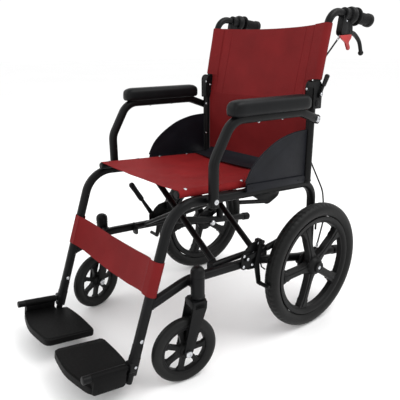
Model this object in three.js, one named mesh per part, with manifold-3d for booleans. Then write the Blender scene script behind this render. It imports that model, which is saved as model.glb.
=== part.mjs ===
// A folding transport wheelchair: two tube side frames joined by a double cross brace, a sling seat and back,
// a half-folding back with push handles, attendant and parking brakes, 16 inch rear wheels and 7.5 inch casters.
// Millimetres, +Z up, +X is the occupant's left and the chair faces -Y. The origin is on the floor, at the
// middle of the footprint. Every side part is drawn once for the left and mirrored for the right.

import * as THREE from 'three';
import { mergeVertices } from 'three/addons/utils/BufferGeometryUtils.js';
import Module from 'manifold-3d';

const wasm = await Module();
wasm.setup();

// ---- driving dimensions ----
// Lengths along Y are measured from the rear axle, and the whole chair is moved back by AXLE_Y at the end.
const AXLE_Y = 261;
const GAP = 0.4;

// side frame
const FRAME_X = 225;
const TUBE_R = 12.5;
const LEG_LEAN = 0.342;
const LEG_REF = [-540, 354];
const LEG_END_Z = 136;
const FRONT_CORNER = [-493.5, 490];
const REAR_CORNER = [42, 457.7];
const REAR_FOOT = [50, 204];
const LOWER_RAIL = [[-579, 239], [-452, 274], [-200, 258], [0, 211], [200, 183]];
const POST_X = 241;
const POST_Y = -5;
const POST_Z = [468, 690];

// wheels
const WHEEL_X = 280;
const WHEEL_R = 203;
const TYRE_HALF = 22;
const RIM_R = 160;
const SPOKES = 5;
const FIRST_SPOKE = 37;
const AXLE_R = 6;
const CASTER_X = 264;
const CASTER_Y = -449;
const CASTER_R = 94;
const CASTER_TRAIL = 42;
const CASTER_TURN = { left: -9.5, right: 14 };
const CASTER_SPOKES = 7;

// cross brace: lower hinges on the side frames, seat rails at the top, one pivot line in the middle
const HINGE_X = 202;
const HINGE_Z = 276;
const HINGE_Y = [-352, -150];
const SEAT_RAIL_X = 203;
const SEAT_RAIL_R = 10;
const BRACE_TOP_Z = 487;
const BRACE_Y = [[-337, -303], [-183, -133]];
const BRACE_STEP = 20;
const BRACE_SECTION = [13, 22];
const BRACE_PIN_R = 5;

// seat, back and arms
const SEAT_SLOPE = -0.06;
const SEAT_FRONT_Y = -465;
const SEAT_REAR_Y = -30;
const SEAT_RAIL_Z = 507;
const SEAT_KICK_Y = -100;
const SEAT_KICK = 3;
const BACK_AXIS = [0, 706];
const BACK_LEAN = 0.2035;
const HANDLE_CORNER = [53, 962];
const HANDLE_END = [240, 939];
const ARM_X = 258;
const ARM_FRONT_Y = -391;
const ARM_TOP_Z = 689;
const ARM_BEND = [-332, 588];
const ARM_PIVOT = [2, 661];

// footrests
const PLATE_PITCH = THREE.MathUtils.degToRad(9);
const PLATE_AXIS = [-632, 89];

// parking brake
const LEVER_PIVOT = [-256, 285];
const LEVER_ANGLE = { left: 9.5, right: 122.5 };
const SHOE_PIVOT = [-222, 262];
const SHOE_ANGLE = { left: 0, right: -22 };

// ---- materials ----
const finish = (color, roughness, metalness) => new THREE.MeshStandardMaterial({ color, roughness, metalness });
const FRAME_PAINT = finish(0x26272a, 0.42, 0.3);
const FABRIC = finish(0x86262a, 0.85, 0);
const WEBBING = finish(0x1c1c20, 0.8, 0);
const PLASTIC = finish(0x1d1e20, 0.5, 0);
const SOFT_PAD = finish(0x222427, 0.55, 0);
const RUBBER = finish(0x1b1b1d, 0.75, 0);
const STEEL = finish(0xb9bcc0, 0.3, 1);
const RED_PLASTIC = finish(0xa1262a, 0.4, 0);

// ---- solids ----
function solid(geometry) {
  const bare = geometry.clone();
  bare.deleteAttribute('normal');
  bare.deleteAttribute('uv');
  const merged = mergeVertices(bare, 1e-4);
  const kept = [];
  const index = merged.index.array;
  for (let i = 0; i < index.length; i += 3) {
    const [a, b, c] = [index[i], index[i + 1], index[i + 2]];
    if (a !== b && b !== c && c !== a) {
      kept.push(a, b, c);
    }
  }
  const mesh = new wasm.Mesh({
    numProp: 3,
    vertProperties: merged.attributes.position.array,
    triVerts: Uint32Array.from(kept),
  });
  return new wasm.Manifold(mesh);
}

const join = (...solids) => solids.reduce((sum, next) => sum.add(next));
const cut = (from, ...tools) => tools.reduce((left, tool) => left.subtract(tool), from);

function surface(body) {
  const { vertProperties, triVerts } = body.getMesh();
  const geometry = new THREE.BufferGeometry();
  geometry.setAttribute('position', new THREE.BufferAttribute(vertProperties, 3));
  geometry.setIndex(new THREE.BufferAttribute(triVerts, 1));
  return geometry;
}

// The same surface with every face turned over.
function flipped(geometry) {
  const copy = geometry.clone();
  const index = copy.index.array;
  for (let i = 0; i < index.length; i += 3) {
    [index[i + 1], index[i + 2]] = [index[i + 2], index[i + 1]];
  }
  return copy;
}

// The right-hand copy of a left-hand surface.
function mirrored(geometry) {
  const copy = flipped(geometry);
  copy.scale(-1, 1, 1);
  return copy;
}

function part(name, body, material, side = 'left') {
  const geometry = surface(body);
  const mesh = new THREE.Mesh(side === 'right' ? mirrored(geometry) : geometry, material);
  mesh.name = name;
  return mesh;
}

// A path of straight runs and round bends, sampled only where it starts or turns.
class BentPath extends THREE.Curve {
  constructor(corners, radii, turnStep = 25) {
    super();
    const points = corners.map((corner) => new THREE.Vector3(...corner));
    const last = points.length - 1;
    const heading = (i) => points[i + 1].clone().sub(points[i]).normalize();
    this.stations = [{ point: points[0], tangent: heading(0) }];
    for (let i = 1; i < last; i += 1) {
      const before = heading(i - 1);
      const after = heading(i);
      const angle = before.angleTo(after);
      const reach = radii[i - 1] * Math.tan(angle / 2);
      const steps = Math.max(1, Math.round(THREE.MathUtils.radToDeg(angle) / turnStep));
      const axis = before.clone().cross(after).normalize();
      const start = points[i].clone().addScaledVector(before, -reach);
      const inward = axis.clone().cross(before);
      const centre = start.clone().addScaledVector(inward, radii[i - 1]);
      for (let k = 0; k <= steps; k += 1) {
        const turn = (angle * k) / steps;
        const spoke = start.clone().sub(centre).applyAxisAngle(axis, turn);
        this.stations.push({ point: centre.clone().add(spoke), tangent: before.clone().applyAxisAngle(axis, turn) });
      }
    }
    this.stations.push({ point: points[last], tangent: heading(last - 1) });
  }

  station(u) {
    return this.stations[Math.round(u * (this.stations.length - 1))];
  }

  getPoint(t) {
    return this.station(t).point.clone();
  }

  getSpacedPoints() {
    return this.stations.map(({ point }) => point.clone());
  }

  getTangentAt(u) {
    return this.station(u).tangent.clone();
  }
}

function ring(radius, sides) {
  const points = [];
  for (let i = 0; i < sides; i += 1) {
    const angle = (2 * Math.PI * (i + 0.5)) / sides;
    points.push(new THREE.Vector2(radius * Math.cos(angle), radius * Math.sin(angle)));
  }
  return points;
}

function tube(corners, radii, radius, sides = 8, turnStep = 25) {
  const path = new BentPath(corners, radii, turnStep);
  const steps = path.stations.length - 1;
  const shape = new THREE.Shape(ring(radius, sides));
  return solid(new THREE.ExtrudeGeometry(shape, { steps, extrudePath: path, curveSegments: 1 }));
}

// A tube in the plane x = constant, from (y, z) corners.
const sideTube = (x, corners, radii, radius, sides, turnStep) =>
  tube(corners.map(([y, z]) => [x, y, z]), radii, radius, sides, turnStep);

const rod = (from, to, radius, sides = 8) => tube([from, to], [], radius, sides);

// A tool for a round hole: its flats, not its corners, lie at the radius.
const drill = (from, to, radius, sides = 8) => rod(from, to, radius / Math.cos(Math.PI / sides), sides);

function block([x0, x1], [y0, y1], [z0, z1]) {
  const box = new THREE.BoxGeometry(x1 - x0, y1 - y0, z1 - z0);
  box.translate((x0 + x1) / 2, (y0 + y1) / 2, (z0 + z1) / 2);
  return solid(box);
}

// A plate between x0 and x1 with an outline of (y, z) points.
function sidePlate([x0, x1], outline) {
  const shape = new THREE.Shape(outline.map(([y, z]) => new THREE.Vector2(y, z)));
  const plate = new THREE.ExtrudeGeometry(shape, { depth: x1 - x0, bevelEnabled: false, curveSegments: 6 });
  plate.applyMatrix4(new THREE.Matrix4().makeBasis(
    new THREE.Vector3(0, 1, 0), new THREE.Vector3(0, 0, 1), new THREE.Vector3(1, 0, 0)));
  plate.translate(x0, 0, 0);
  return solid(plate);
}

// A straight bar of oval section; its narrow way points along Y.
function ovalBar(from, to, [narrow, wide]) {
  const start = new THREE.Vector3(...from);
  const along = new THREE.Vector3(...to).sub(start);
  const length = along.length();
  along.normalize();
  const across = along.clone().cross(new THREE.Vector3(0, 1, 0)).normalize();
  const side = across.clone().cross(along);
  const [n, w, c] = [narrow / 2, wide / 2, narrow / 3];
  const outline = [[n, w - c], [n - c, w], [c - n, w], [-n, w - c], [-n, c - w], [c - n, -w], [n - c, -w], [n, c - w]];
  const shape = new THREE.Shape(outline.map(([x, y]) => new THREE.Vector2(x, y)));
  const bar = new THREE.ExtrudeGeometry(shape, { depth: length, bevelEnabled: false });
  bar.applyMatrix4(new THREE.Matrix4().makeBasis(side, across, along).setPosition(start));
  const body = solid(bar);
  return body.volume() < 0 ? solid(flipped(surface(body))) : body;
}

// A body turned about the line through (y, z) along X: profile points are (x, radius); a ring closes on itself.
function turnedX(profile, segments, [y, z]) {
  const closed = profile[0][1] > 0 ? [...profile, profile[0]] : profile;
  const lathe = new THREE.LatheGeometry(closed.map(([x, r]) => new THREE.Vector2(r, x)), segments);
  lathe.rotateZ(-Math.PI / 2);
  lathe.translate(0, y, z);
  const body = solid(lathe);
  return body.volume() < 0 ? solid(flipped(surface(body))) : body;
}

const ball = (at, radius) => {
  const sphere = new THREE.SphereGeometry(radius, 8, 5);
  sphere.translate(...at);
  return solid(sphere);
};

const arcPoints = ([y, z], radius, from, to, steps) => {
  const points = [];
  for (let i = 0; i <= steps; i += 1) {
    const angle = THREE.MathUtils.degToRad(from + ((to - from) * i) / steps);
    points.push([y + radius * Math.cos(angle), z + radius * Math.sin(angle)]);
  }
  return points;
};

const legPoint = (z) => [LEG_REF[0] - LEG_LEAN * (LEG_REF[1] - z), z];
const seatZ = (y) => SEAT_RAIL_Z + SEAT_SLOPE * (y - SEAT_FRONT_Y);
// The rear of the seat fabric, under the lap belt, rises a little towards the back.
const seatKick = (y) => (SEAT_KICK * Math.max(0, y - SEAT_KICK_Y)) / (SEAT_REAR_Y - SEAT_KICK_Y);

// ---- side frame ----
function sideFrame() {
  const mainTube = sideTube(FRAME_X, [legPoint(LEG_END_Z), FRONT_CORNER, REAR_CORNER, REAR_FOOT], [90, 60], TUBE_R);
  const lowerRail = sideTube(FRAME_X, LOWER_RAIL, [150, 200, 200], TUBE_R, 8, 10);
  const backPost = rod([POST_X, POST_Y, POST_Z[0]], [POST_X, POST_Y, POST_Z[1]], TUBE_R);
  const armBoss = rod([FRAME_X, ARM_FRONT_Y, 485], [ARM_X - TUBE_R - GAP, ARM_FRONT_Y, 485], 9);
  const axleBush = rod([FRAME_X, 0, WHEEL_R], [250, 0, WHEEL_R], 15);
  const legBolt = rod([FRAME_X, -608, 155], [241, -608, 155], 6, 6);
  const frame = join(mainTube, lowerRail, backPost, armBoss, axleBush, legBolt, casterHousing(), seatStay(),
    ...hingeLugs(), ...seatCradles());
  const hangerSocket = drill([FRAME_X, ...legPoint(LEG_END_Z - 10)], [FRAME_X, ...legPoint(196)], 9.5 + GAP);
  const axleHole = drill([200, 0, WHEEL_R], [260, 0, WHEEL_R], AXLE_R + GAP);
  const stemHole = drill([CASTER_X, CASTER_Y, 230], [CASTER_X, CASTER_Y, 306], 9);
  const armBoltHole = drill([234, ...ARM_PIVOT], [260, ...ARM_PIVOT], 4 + GAP);
  return cut(frame, hangerSocket, axleHole, stemHole, armBoltHole);
}

function casterHousing() {
  const profile = [[0, 238], [19, 238], [19, 313], [17, 320], [12, 325], [0, 327]];
  const lathe = new THREE.LatheGeometry(profile.map(([r, z]) => new THREE.Vector2(r, z)), 16);
  lathe.rotateX(Math.PI / 2);
  lathe.translate(CASTER_X, CASTER_Y, 0);
  const body = solid(lathe);
  const weld = block([FRAME_X, CASTER_X], [CASTER_Y - 11, CASTER_Y + 11], [262, 284]);
  return join(body.volume() < 0 ? solid(flipped(surface(body))) : body, weld);
}

// A gusset with a short stay under the seat-side tube.
function seatStay() {
  const gusset = sidePlate([221, 229], [[-221, 462], [-166, 426], [-152, 426], [-112, 444], [-112, 460]]);
  return join(gusset, rod([FRAME_X, -268, 452], [FRAME_X, -157, 433], 6));
}

// Lugs on the lower rail whose pins carry the hinge tube of one brace.
function hingeLugs() {
  const lug = (y, inward) => join(
    block([HINGE_X - 12, FRAME_X - 6], [y - 2.5, y + 2.5], [HINGE_Z - 28, HINGE_Z + 12]),
    rod([HINGE_X, y, HINGE_Z], [HINGE_X, y + inward * 18, HINGE_Z], BRACE_PIN_R),
  );
  return [lug(HINGE_Y[0] - 3, 1), lug(HINGE_Y[1] + 3, -1)];
}

// Rests under the seat rail, one near each end.
function seatCradles() {
  return [-398, -66].map((y) => {
    const top = seatZ(y) - SEAT_RAIL_R - 1.2;
    return block([SEAT_RAIL_X - 9, FRAME_X - 4], [y - 12, y + 12], [top - 9, top]);
  });
}

function tippingCap() {
  const [[y0, z0], [y1, z1]] = LOWER_RAIL.slice(-2);
  const slope = (z1 - z0) / (y1 - y0);
  const at = (y) => [FRAME_X, y, z1 + slope * (y - y1)];
  return cut(rod(at(176), at(207), 15.5, 12), drill(at(160), at(200.6), TUBE_R + GAP));
}

// ---- cross brace ----
// The brace hinged on the left rail, which carries the right seat rail; `step` moves its bars back from the
// bars of the other brace, and `drawn` adds the pivot bolts or their holes.
function braceBody(step) {
  const hinge = rod([HINGE_X, HINGE_Y[0], HINGE_Z], [HINGE_X, HINGE_Y[1], HINGE_Z], 9);
  const rail = rod([-SEAT_RAIL_X, SEAT_FRONT_Y, seatZ(SEAT_FRONT_Y)], [-SEAT_RAIL_X, SEAT_REAR_Y, seatZ(SEAT_REAR_Y)],
    SEAT_RAIL_R);
  const bars = BRACE_Y.map((ends) => {
    const at = (t) => [
      HINGE_X - t * (HINGE_X + SEAT_RAIL_X),
      ends[0] + step + t * (ends[1] - ends[0]),
      HINGE_Z + t * (BRACE_TOP_Z - HINGE_Z),
    ];
    return ovalBar(at(0.012), at(0.99), BRACE_SECTION);
  });
  const bore = drill([HINGE_X, HINGE_Y[0] - 5, HINGE_Z], [HINGE_X, HINGE_Y[1] + 5, HINGE_Z], BRACE_PIN_R + GAP);
  return cut(join(hinge, rail, ...bars), bore);
}

const crossing = () => {
  const t = HINGE_X / (HINGE_X + SEAT_RAIL_X);
  return { z: HINGE_Z + t * (BRACE_TOP_Z - HINGE_Z), ys: BRACE_Y.map(([y0, y1]) => y0 + t * (y1 - y0)) };
};

function braceA() {
  const { z, ys } = crossing();
  const bolts = ys.map((y) => join(
    rod([0, y - 10, z], [0, y + BRACE_STEP + 14, z], BRACE_PIN_R),
    rod([0, y + BRACE_STEP + 9, z], [0, y + BRACE_STEP + 14, z], 9, 6),
  ));
  return join(braceBody(0), ...bolts);
}

function braceB() {
  const { z, ys } = crossing();
  const holes = ys.map((y) => drill([0, y, z], [0, y + 2 * BRACE_STEP, z], BRACE_PIN_R + GAP));
  return cut(solid(mirrored(surface(braceBody(BRACE_STEP)))), ...holes);
}

// ---- footrests ----
const plateFrame = () => new THREE.Matrix4().makeRotationX(-PLATE_PITCH).setPosition(0, ...PLATE_AXIS);
const placed = (body, matrix) => solid(surface(body).applyMatrix4(matrix));

function footrestHanger() {
  const tubeDown = rod([FRAME_X, ...legPoint(44)], [FRAME_X, ...legPoint(190)], 9.5);
  const clamp = rod([FRAME_X, ...legPoint(68)], [FRAME_X, ...legPoint(112)], 14);
  const pin = rod([226, 0, 0], [226, -118.4, 0], 7);
  const pinHead = rod([226, -118.4, 0], [226, -137, 0], 10);
  return join(tubeDown, clamp, placed(join(pin, pinHead), plateFrame()));
}

function footplate() {
  const outline = new THREE.Shape();
  outline.moveTo(36, 22);
  outline.lineTo(24, 10);
  outline.lineTo(24, -108);
  outline.quadraticCurveTo(24, -123, 40, -127);
  outline.quadraticCurveTo(130, -147, 222, -118);
  outline.quadraticCurveTo(238, -113, 238, -95);
  outline.lineTo(238, -22);
  outline.lineTo(204, -22);
  outline.lineTo(204, 12);
  outline.quadraticCurveTo(120, 28, 36, 22);
  const slab = new THREE.ExtrudeGeometry(outline, { depth: 18, bevelEnabled: false, curveSegments: 5 });
  slab.translate(0, 0, -43);
  const web = block([220, 232], [-112, -24], [-27, -4]);
  const barrel = rod([226, -20, 0], [226, -118, 0], 10.5);
  const bore = drill([226, 5, 0], [226, -130, 0], 7 + GAP);
  return placed(cut(join(solid(slab), web, barrel), bore), plateFrame());
}

// ---- arms and skirt guards ----
function armrestTube() {
  const front = [[ARM_FRONT_Y, 474], [ARM_FRONT_Y, ARM_BEND[1]], [ARM_BEND[0], ARM_TOP_Z]];
  const rear = [[-72, ARM_TOP_Z - 2], [ARM_PIVOT[0] + 9, ARM_PIVOT[1] - 3]];
  const whole = sideTube(ARM_X, [...front, ...rear], [60, 60, 70], TUBE_R);
  const inner = block([230, 254.2], [-26, 40], [600, 720]);
  const outer = block([262, 290], [-13, 40], [600, 720]);
  const boltHole = drill([240, ...ARM_PIVOT], [280, ...ARM_PIVOT], 4 + GAP);
  return cut(whole, inner, outer, boltHole);
}

const armrestPivotBolt = () => turnedX([[236, 0], [236, 4], [262.4, 4], [262.4, 7.5], [267, 6.5], [268, 0]], 10, ARM_PIVOT);

function armrestPad() {
  const [y0, y1, z0, z1, half] = [-338, -45, 702.2, 737, 24];
  const section = new THREE.Shape();
  section.moveTo(-half + 5, z0);
  section.lineTo(half - 5, z0);
  section.quadraticCurveTo(half, z0, half, z0 + 6);
  section.lineTo(half, z1 - 14);
  section.quadraticCurveTo(half, z1, half - 16, z1);
  section.lineTo(16 - half, z1);
  section.quadraticCurveTo(-half, z1, -half, z1 - 14);
  section.lineTo(-half, z0 + 6);
  section.quadraticCurveTo(-half, z0, 5 - half, z0);
  const length = new THREE.ExtrudeGeometry(section, { depth: y1 - y0, bevelEnabled: false, curveSegments: 3 });
  length.rotateX(Math.PI / 2);
  length.translate(ARM_X, y1, 0);
  const plan = new THREE.Shape();
  plan.moveTo(half, y1 - 16);
  plan.quadraticCurveTo(half, y1, 8, y1);
  plan.lineTo(-8, y1);
  plan.quadraticCurveTo(-half, y1, -half, y1 - 16);
  plan.lineTo(-half, y0 + 16);
  plan.quadraticCurveTo(-half, y0, -8, y0);
  plan.lineTo(8, y0);
  plan.quadraticCurveTo(half, y0, half, y0 + 16);
  const height = new THREE.ExtrudeGeometry(plan, { depth: 60, bevelEnabled: false, curveSegments: 3 });
  height.translate(ARM_X, 0, z0 - 10);
  return solid(length).intersect(solid(height));
}

function skirtGuard() {
  const panel = [[-262, 500], [-262, 512], [-240, 548], [-203, 579], [-153, 606], [-113, 621], [-49, 629], [-30, 626],
    [-28, 612], [-28, 484]];
  const strip = [[-258, 484], [-258, 503], [-32, 490], [-32, 473]];
  return join(sidePlate([239.8, 242.8], panel), sidePlate([238.4, 244.6], strip));
}

// ---- back ----
function backHingeHousing() {
  const [y, z] = BACK_AXIS;
  const cheeks = sidePlate([225, 257], [[-17, 690.6], [-17, 752], ...arcPoints([1, 752], 18, 180, 0, 6).slice(1), [20, 752],
    [20, 690.6]]);
  const slot = join(
    block([229.4, 252.6], [-12.4, 40], [z, 790]),
    block([229.4, 252.6], [-12.4, 40], [693.2, z + 1]),
    block([229.4, 252.6], [2, 40], [680, z]),
  );
  const pin = rod([222, y, z], [259.5, y, z], 5);
  const heads = [rod([221.5, y, z], [225.5, y, z], 9, 8), rod([256.5, y, z], [260.5, y, z], 9, 8)];
  return join(cut(cheeks, slot), pin, ...heads);
}

function backCane() {
  const [y, z] = BACK_AXIS;
  const rest = sideTube(POST_X, [[y, z], HANDLE_CORNER, HANDLE_END], [45], 11);
  const foot = rod([POST_X - 11, y, z], [POST_X + 11, y, z], 12, 12);
  return cut(join(rest, foot), drill([220, y, z], [262, y, z], 5 + GAP));
}

function backReleaseLever() {
  const bar = sideTube(POST_X + 21, [[3, 722], [12, 745], [30, 778]], [60], 4, 6);
  return join(bar, ball([POST_X + 21, 30, 778], 6.5), rod([POST_X + 16.5, 7, 732], [POST_X + 24, 7, 732], 7, 10));
}

const handleSlope = (HANDLE_END[1] - HANDLE_CORNER[1]) / (HANDLE_END[0] - HANDLE_CORNER[0]);
const handlePoint = (y) => [y, HANDLE_CORNER[1] + handleSlope * (y - HANDLE_CORNER[0])];

function handGrip() {
  const span = (y0, y1, radius) => rod([POST_X, ...handlePoint(y0)], [POST_X, ...handlePoint(y1)], radius, 12);
  const outer = join(span(168, 174, 20), span(173, 236, 15), span(235, 248, 17));
  return cut(outer, span(150, 240.5, 12.4));
}

function brakePerch() {
  const clamp = rod([POST_X, ...handlePoint(112)], [POST_X, ...handlePoint(144)], 16);
  const arm = sidePlate([232, 250], [[114, 950], [112, 902], [119, 891], [146, 894], [150, 908], [142, 950]]);
  const bore = drill([POST_X, ...handlePoint(90)], [POST_X, ...handlePoint(170)], 11 + GAP);
  const leverSlot = block([235.6, 246.4], [127, 160], [880, 922]);
  const pin = rod([233, 140, 905], [249, 140, 905], 3, 8);
  return join(cut(join(clamp, arm), bore, leverSlot), pin);
}

function brakeLever() {
  const blade = sideTube(POST_X, [[141, 905], [160, 890], [188, 872], [220, 845]], [30, 60], 4.4, 6);
  const root = rod([236.4, 140, 905], [245.6, 140, 905], 8);
  return cut(join(blade, root, ball([POST_X, 220, 845], 8)), drill([230, 140, 905], [252, 140, 905], 3 + GAP));
}

function brakeLockLever() {
  return sidePlate([250.5, 255.5], [[120, 906], [134, 906], [141, 890], [151, 862], [148, 855], [140, 856], [128, 878],
    [119, 896]]);
}

function brakeCable() {
  const corners = [[POST_X, 106, 892], [206, 54, 800], [198, 34, 560], [232, 92, 420], [243, 96, 330], [254.5, 52, 243.5]];
  return tube(corners, [60, 200, 90, 90, 60], 2.6, 6, 30);
}

// ---- rear wheels ----
const turned = (points, dx) => points.map(([x, r]) => [x + dx, r]);

function rearTyre() {
  const half = [[6, WHEEL_R], [16, 197], [TYRE_HALF, 183], [15, RIM_R + GAP]];
  const profile = [...half, ...half.toReversed().map(([x, r]) => [-x, r])];
  return turnedX(turned(profile, WHEEL_X), 40, [0, WHEEL_R]);
}

function rearWheel() {
  const at = [0, WHEEL_R];
  const band = turnedX(turned([[-16, RIM_R], [-16, 150], [-9, 142], [9, 142], [16, 150], [16, RIM_R]], WHEEL_X), 40, at);
  const hub = turnedX(turned([[-17.5, 0], [-17.5, 26], [-12, 31], [14, 31], [22, 24], [26, 19], [32, 18], [32, 0]],
    WHEEL_X), 16, at);
  const spokes = [];
  for (let i = 0; i < SPOKES; i += 1) {
    const angle = THREE.MathUtils.degToRad(FIRST_SPOKE + (360 / SPOKES) * i);
    const along = new THREE.Vector2(Math.cos(angle), Math.sin(angle));
    const across = new THREE.Vector2(-along.y, along.x);
    const corner = (r, w) => [along.x * r + across.x * w, WHEEL_R + along.y * r + across.y * w];
    spokes.push(sidePlate([WHEEL_X - 11, WHEEL_X + 11], [corner(20, -15), corner(147, -14), corner(147, 14), corner(20, 15)]));
  }
  return cut(join(band, hub, ...spokes), drill([250, ...at], [305, ...at], AXLE_R + GAP));
}

const rearAxle = () => turnedX([[204, 0], [204, 8], [206, 10], [212.1, 10], [212.1, AXLE_R], [304.5, AXLE_R], [304.5, 0]],
  12, [0, WHEEL_R]);

function hubBrake() {
  const at = [0, WHEEL_R];
  const drum = turnedX([[250.6, 36], [254, 40], [261.6, 40], [261.6, AXLE_R + GAP], [250.6, AXLE_R + GAP]], 20, at);
  const anchor = sidePlate([251, 257], [[20, 225], [34, 215], [60, 226], [60, 238], [44, 240]]);
  return join(drum, anchor);
}

// ---- casters, drawn about the swivel axis and then turned ----
function casterPlace(side) {
  const turn = side === 'left' ? CASTER_TURN.left : -CASTER_TURN.right;
  return new THREE.Matrix4().makeRotationZ(THREE.MathUtils.degToRad(turn)).setPosition(CASTER_X, CASTER_Y, 0);
}

function casterFork(side) {
  const stem = rod([0, 0, 225], [0, 0, 304], 8.4);
  const crown = block([-24, 24], [-26, 16], [218, 237.2]);
  const outline = [[16, 237.2], [16, 214], ...arcPoints([-CASTER_TRAIL, CASTER_R], 13, 5, -185, 6), [-26, 214], [-26, 237.2]];
  const legs = [sidePlate([-24, -19], outline), sidePlate([19, 24], outline)];
  const hole = drill([-40, -CASTER_TRAIL, CASTER_R], [40, -CASTER_TRAIL, CASTER_R], 5 + GAP);
  return placed(cut(join(stem, crown, ...legs), hole), casterPlace(side));
}

const casterCentre = [-CASTER_TRAIL, CASTER_R];

function casterTyre(side) {
  const half = [[5, CASTER_R], [12, 89], [14, 81], [11, 70 + GAP]];
  const profile = [...half, ...half.toReversed().map(([x, r]) => [-x, r])];
  return placed(turnedX(profile, 28, casterCentre), casterPlace(side));
}

function casterRim(side) {
  const disc = turnedX([[-16, 0], [-16, 15], [-7, 19], [-7, 58], [-11, 63], [-11, 70], [11, 70], [11, 63], [7, 58],
    [7, 19], [16, 15], [16, 0]], 28, casterCentre);
  const openings = [];
  for (let i = 0; i < CASTER_SPOKES; i += 1) {
    const angle = (2 * Math.PI * (i + 0.5)) / CASTER_SPOKES;
    const [y, z] = [casterCentre[0] + 42 * Math.cos(angle), casterCentre[1] + 42 * Math.sin(angle)];
    openings.push(rod([-20, y, z], [20, y, z], 11, 6));
  }
  const bore = drill([-30, ...casterCentre], [30, ...casterCentre], 5 + GAP);
  return placed(cut(disc, ...openings, bore), casterPlace(side));
}

function casterAxle(side) {
  const shaft = [[-31, 0], [-31, 7], [-24.4, 8], [-24.4, 5], [24.4, 5], [24.4, 8], [31, 8], [33.5, 5], [33.5, 0]];
  return placed(turnedX(shaft, 12, casterCentre), casterPlace(side));
}

// ---- parking brakes ----
function turnAbout([y, z], degrees) {
  const there = new THREE.Matrix4().makeTranslation(0, y, z);
  const turn = new THREE.Matrix4().makeRotationX(THREE.MathUtils.degToRad(degrees));
  const back = new THREE.Matrix4().makeTranslation(0, -y, -z);
  return there.multiply(turn).multiply(back);
}

function parkingBrakeBracket() {
  const plate = sidePlate([239.5, 243.5], [[-272, 252], [-210, 252], [-210, 272], [-242, 300], [-266, 300], [-274, 290]]);
  const clamp = block([238, 240], [-262, -220], [253, 268]);
  const pins = [rod([243, ...LEVER_PIVOT], [252, ...LEVER_PIVOT], 3), rod([243, ...SHOE_PIVOT], [256, ...SHOE_PIVOT], 3)];
  return join(plate, clamp, ...pins);
}

function parkingBrakeLever(side) {
  const [y, z] = LEVER_PIVOT;
  const blade = sidePlate([244.3, 249.5], [[y - 8, z - 7], [y + 8, z - 8], [y + 82, z - 5], [y + 82, z + 5], [y - 4, z + 8]]);
  const grip = rod([248.4, y + 76, z], [248.4, y + 156, z], 9, 10);
  const hole = drill([235, y, z], [262, y, z], 3 + GAP);
  return placed(cut(join(blade, grip), hole), turnAbout(LEVER_PIVOT, LEVER_ANGLE[side]));
}

function parkingBrakeShoe(side) {
  const [y, z] = SHOE_PIVOT;
  const outline = [[y - 8, z], [y + 4, z - 66], [y + 12, z - 72], [y + 19, z - 64], [y + 9, z], [y + 23, z + 66],
    [y + 16, z + 71], [y + 10, z + 66]];
  const arm = sidePlate([250.3, 254.3], outline);
  const peg = rod([252, y + 12.2, z - 65], [294, y + 12.2, z - 65], 6, 10);
  const hole = drill([245, y, z], [262, y, z], 3 + GAP);
  return placed(cut(join(arm, peg), hole), turnAbout(SHOE_PIVOT, SHOE_ANGLE[side]));
}

// ---- fabric ----
// A sheet between x0 and x1 that follows a (y, z) line and is `thickness` deep.
function sheet(xRange, line, thickness) {
  const offset = (sign) => line.map(([y, z], i) => {
    const [a, b] = [line[Math.max(0, i - 1)], line[Math.min(line.length - 1, i + 1)]];
    const length = Math.hypot(b[0] - a[0], b[1] - a[1]);
    return [y + (sign * thickness * (a[1] - b[1])) / (2 * length), z + (sign * thickness * (b[0] - a[0])) / (2 * length)];
  });
  return sidePlate(xRange, [...offset(-1), ...offset(1).reverse()]);
}

function seatSling() {
  const line = [SEAT_FRONT_Y, SEAT_KICK_Y, SEAT_REAR_Y].map((y) => [y, seatZ(y) + SEAT_RAIL_R + 2 + seatKick(y)]);
  return sheet([-214, 214], line, 3);
}

function backSling() {
  const [y, z] = BACK_AXIS;
  const top = 925;
  return sheet([-220, 220], [[y - 5, 486], [y - 5, z - 24], [y + BACK_LEAN * (top - z), top]], 3);
}

function calfStrap() {
  const [low, high] = [266, 352];
  const web = sheet([-212, 212], [legPoint(low), legPoint(high)], 3);
  const loop = (x) => rod([x, ...legPoint(low)], [x, ...legPoint(high)], 15.5, 12);
  const leg = (x) => drill([x, ...legPoint(low - 20)], [x, ...legPoint(high + 20)], TUBE_R + 1, 12);
  return cut(join(web, loop(FRAME_X), loop(-FRAME_X)), leg(FRAME_X), leg(-FRAME_X));
}

function lapBelt() {
  const line = [-92, -36].map((y) => [y, seatZ(y) + SEAT_RAIL_R + 5.6 + seatKick(y)]);
  return sheet([-208, 208], [...line, [-14, 508]], 2.5);
}

// ---- the chair ----
const alike = [
  ['side_frame', sideFrame, FRAME_PAINT],
  ['tipping_cap', tippingCap, RUBBER],
  ['footrest_hanger', footrestHanger, FRAME_PAINT],
  ['footplate', footplate, PLASTIC],
  ['armrest_tube', armrestTube, FRAME_PAINT],
  ['armrest_pivot_bolt', armrestPivotBolt, STEEL],
  ['armrest_pad', armrestPad, SOFT_PAD],
  ['skirt_guard', skirtGuard, PLASTIC],
  ['back_hinge_housing', backHingeHousing, PLASTIC],
  ['back_cane', backCane, FRAME_PAINT],
  ['back_release_lever', backReleaseLever, FRAME_PAINT],
  ['hand_grip', handGrip, RUBBER],
  ['brake_perch', brakePerch, PLASTIC],
  ['brake_lever', brakeLever, PLASTIC],
  ['brake_lock_lever', brakeLockLever, RED_PLASTIC],
  ['brake_cable', brakeCable, PLASTIC],
  ['rear_tyre', rearTyre, RUBBER],
  ['rear_wheel', rearWheel, PLASTIC],
  ['rear_axle', rearAxle, STEEL],
  ['hub_brake', hubBrake, FRAME_PAINT],
  ['parking_brake_bracket', parkingBrakeBracket, FRAME_PAINT],
];
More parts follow.
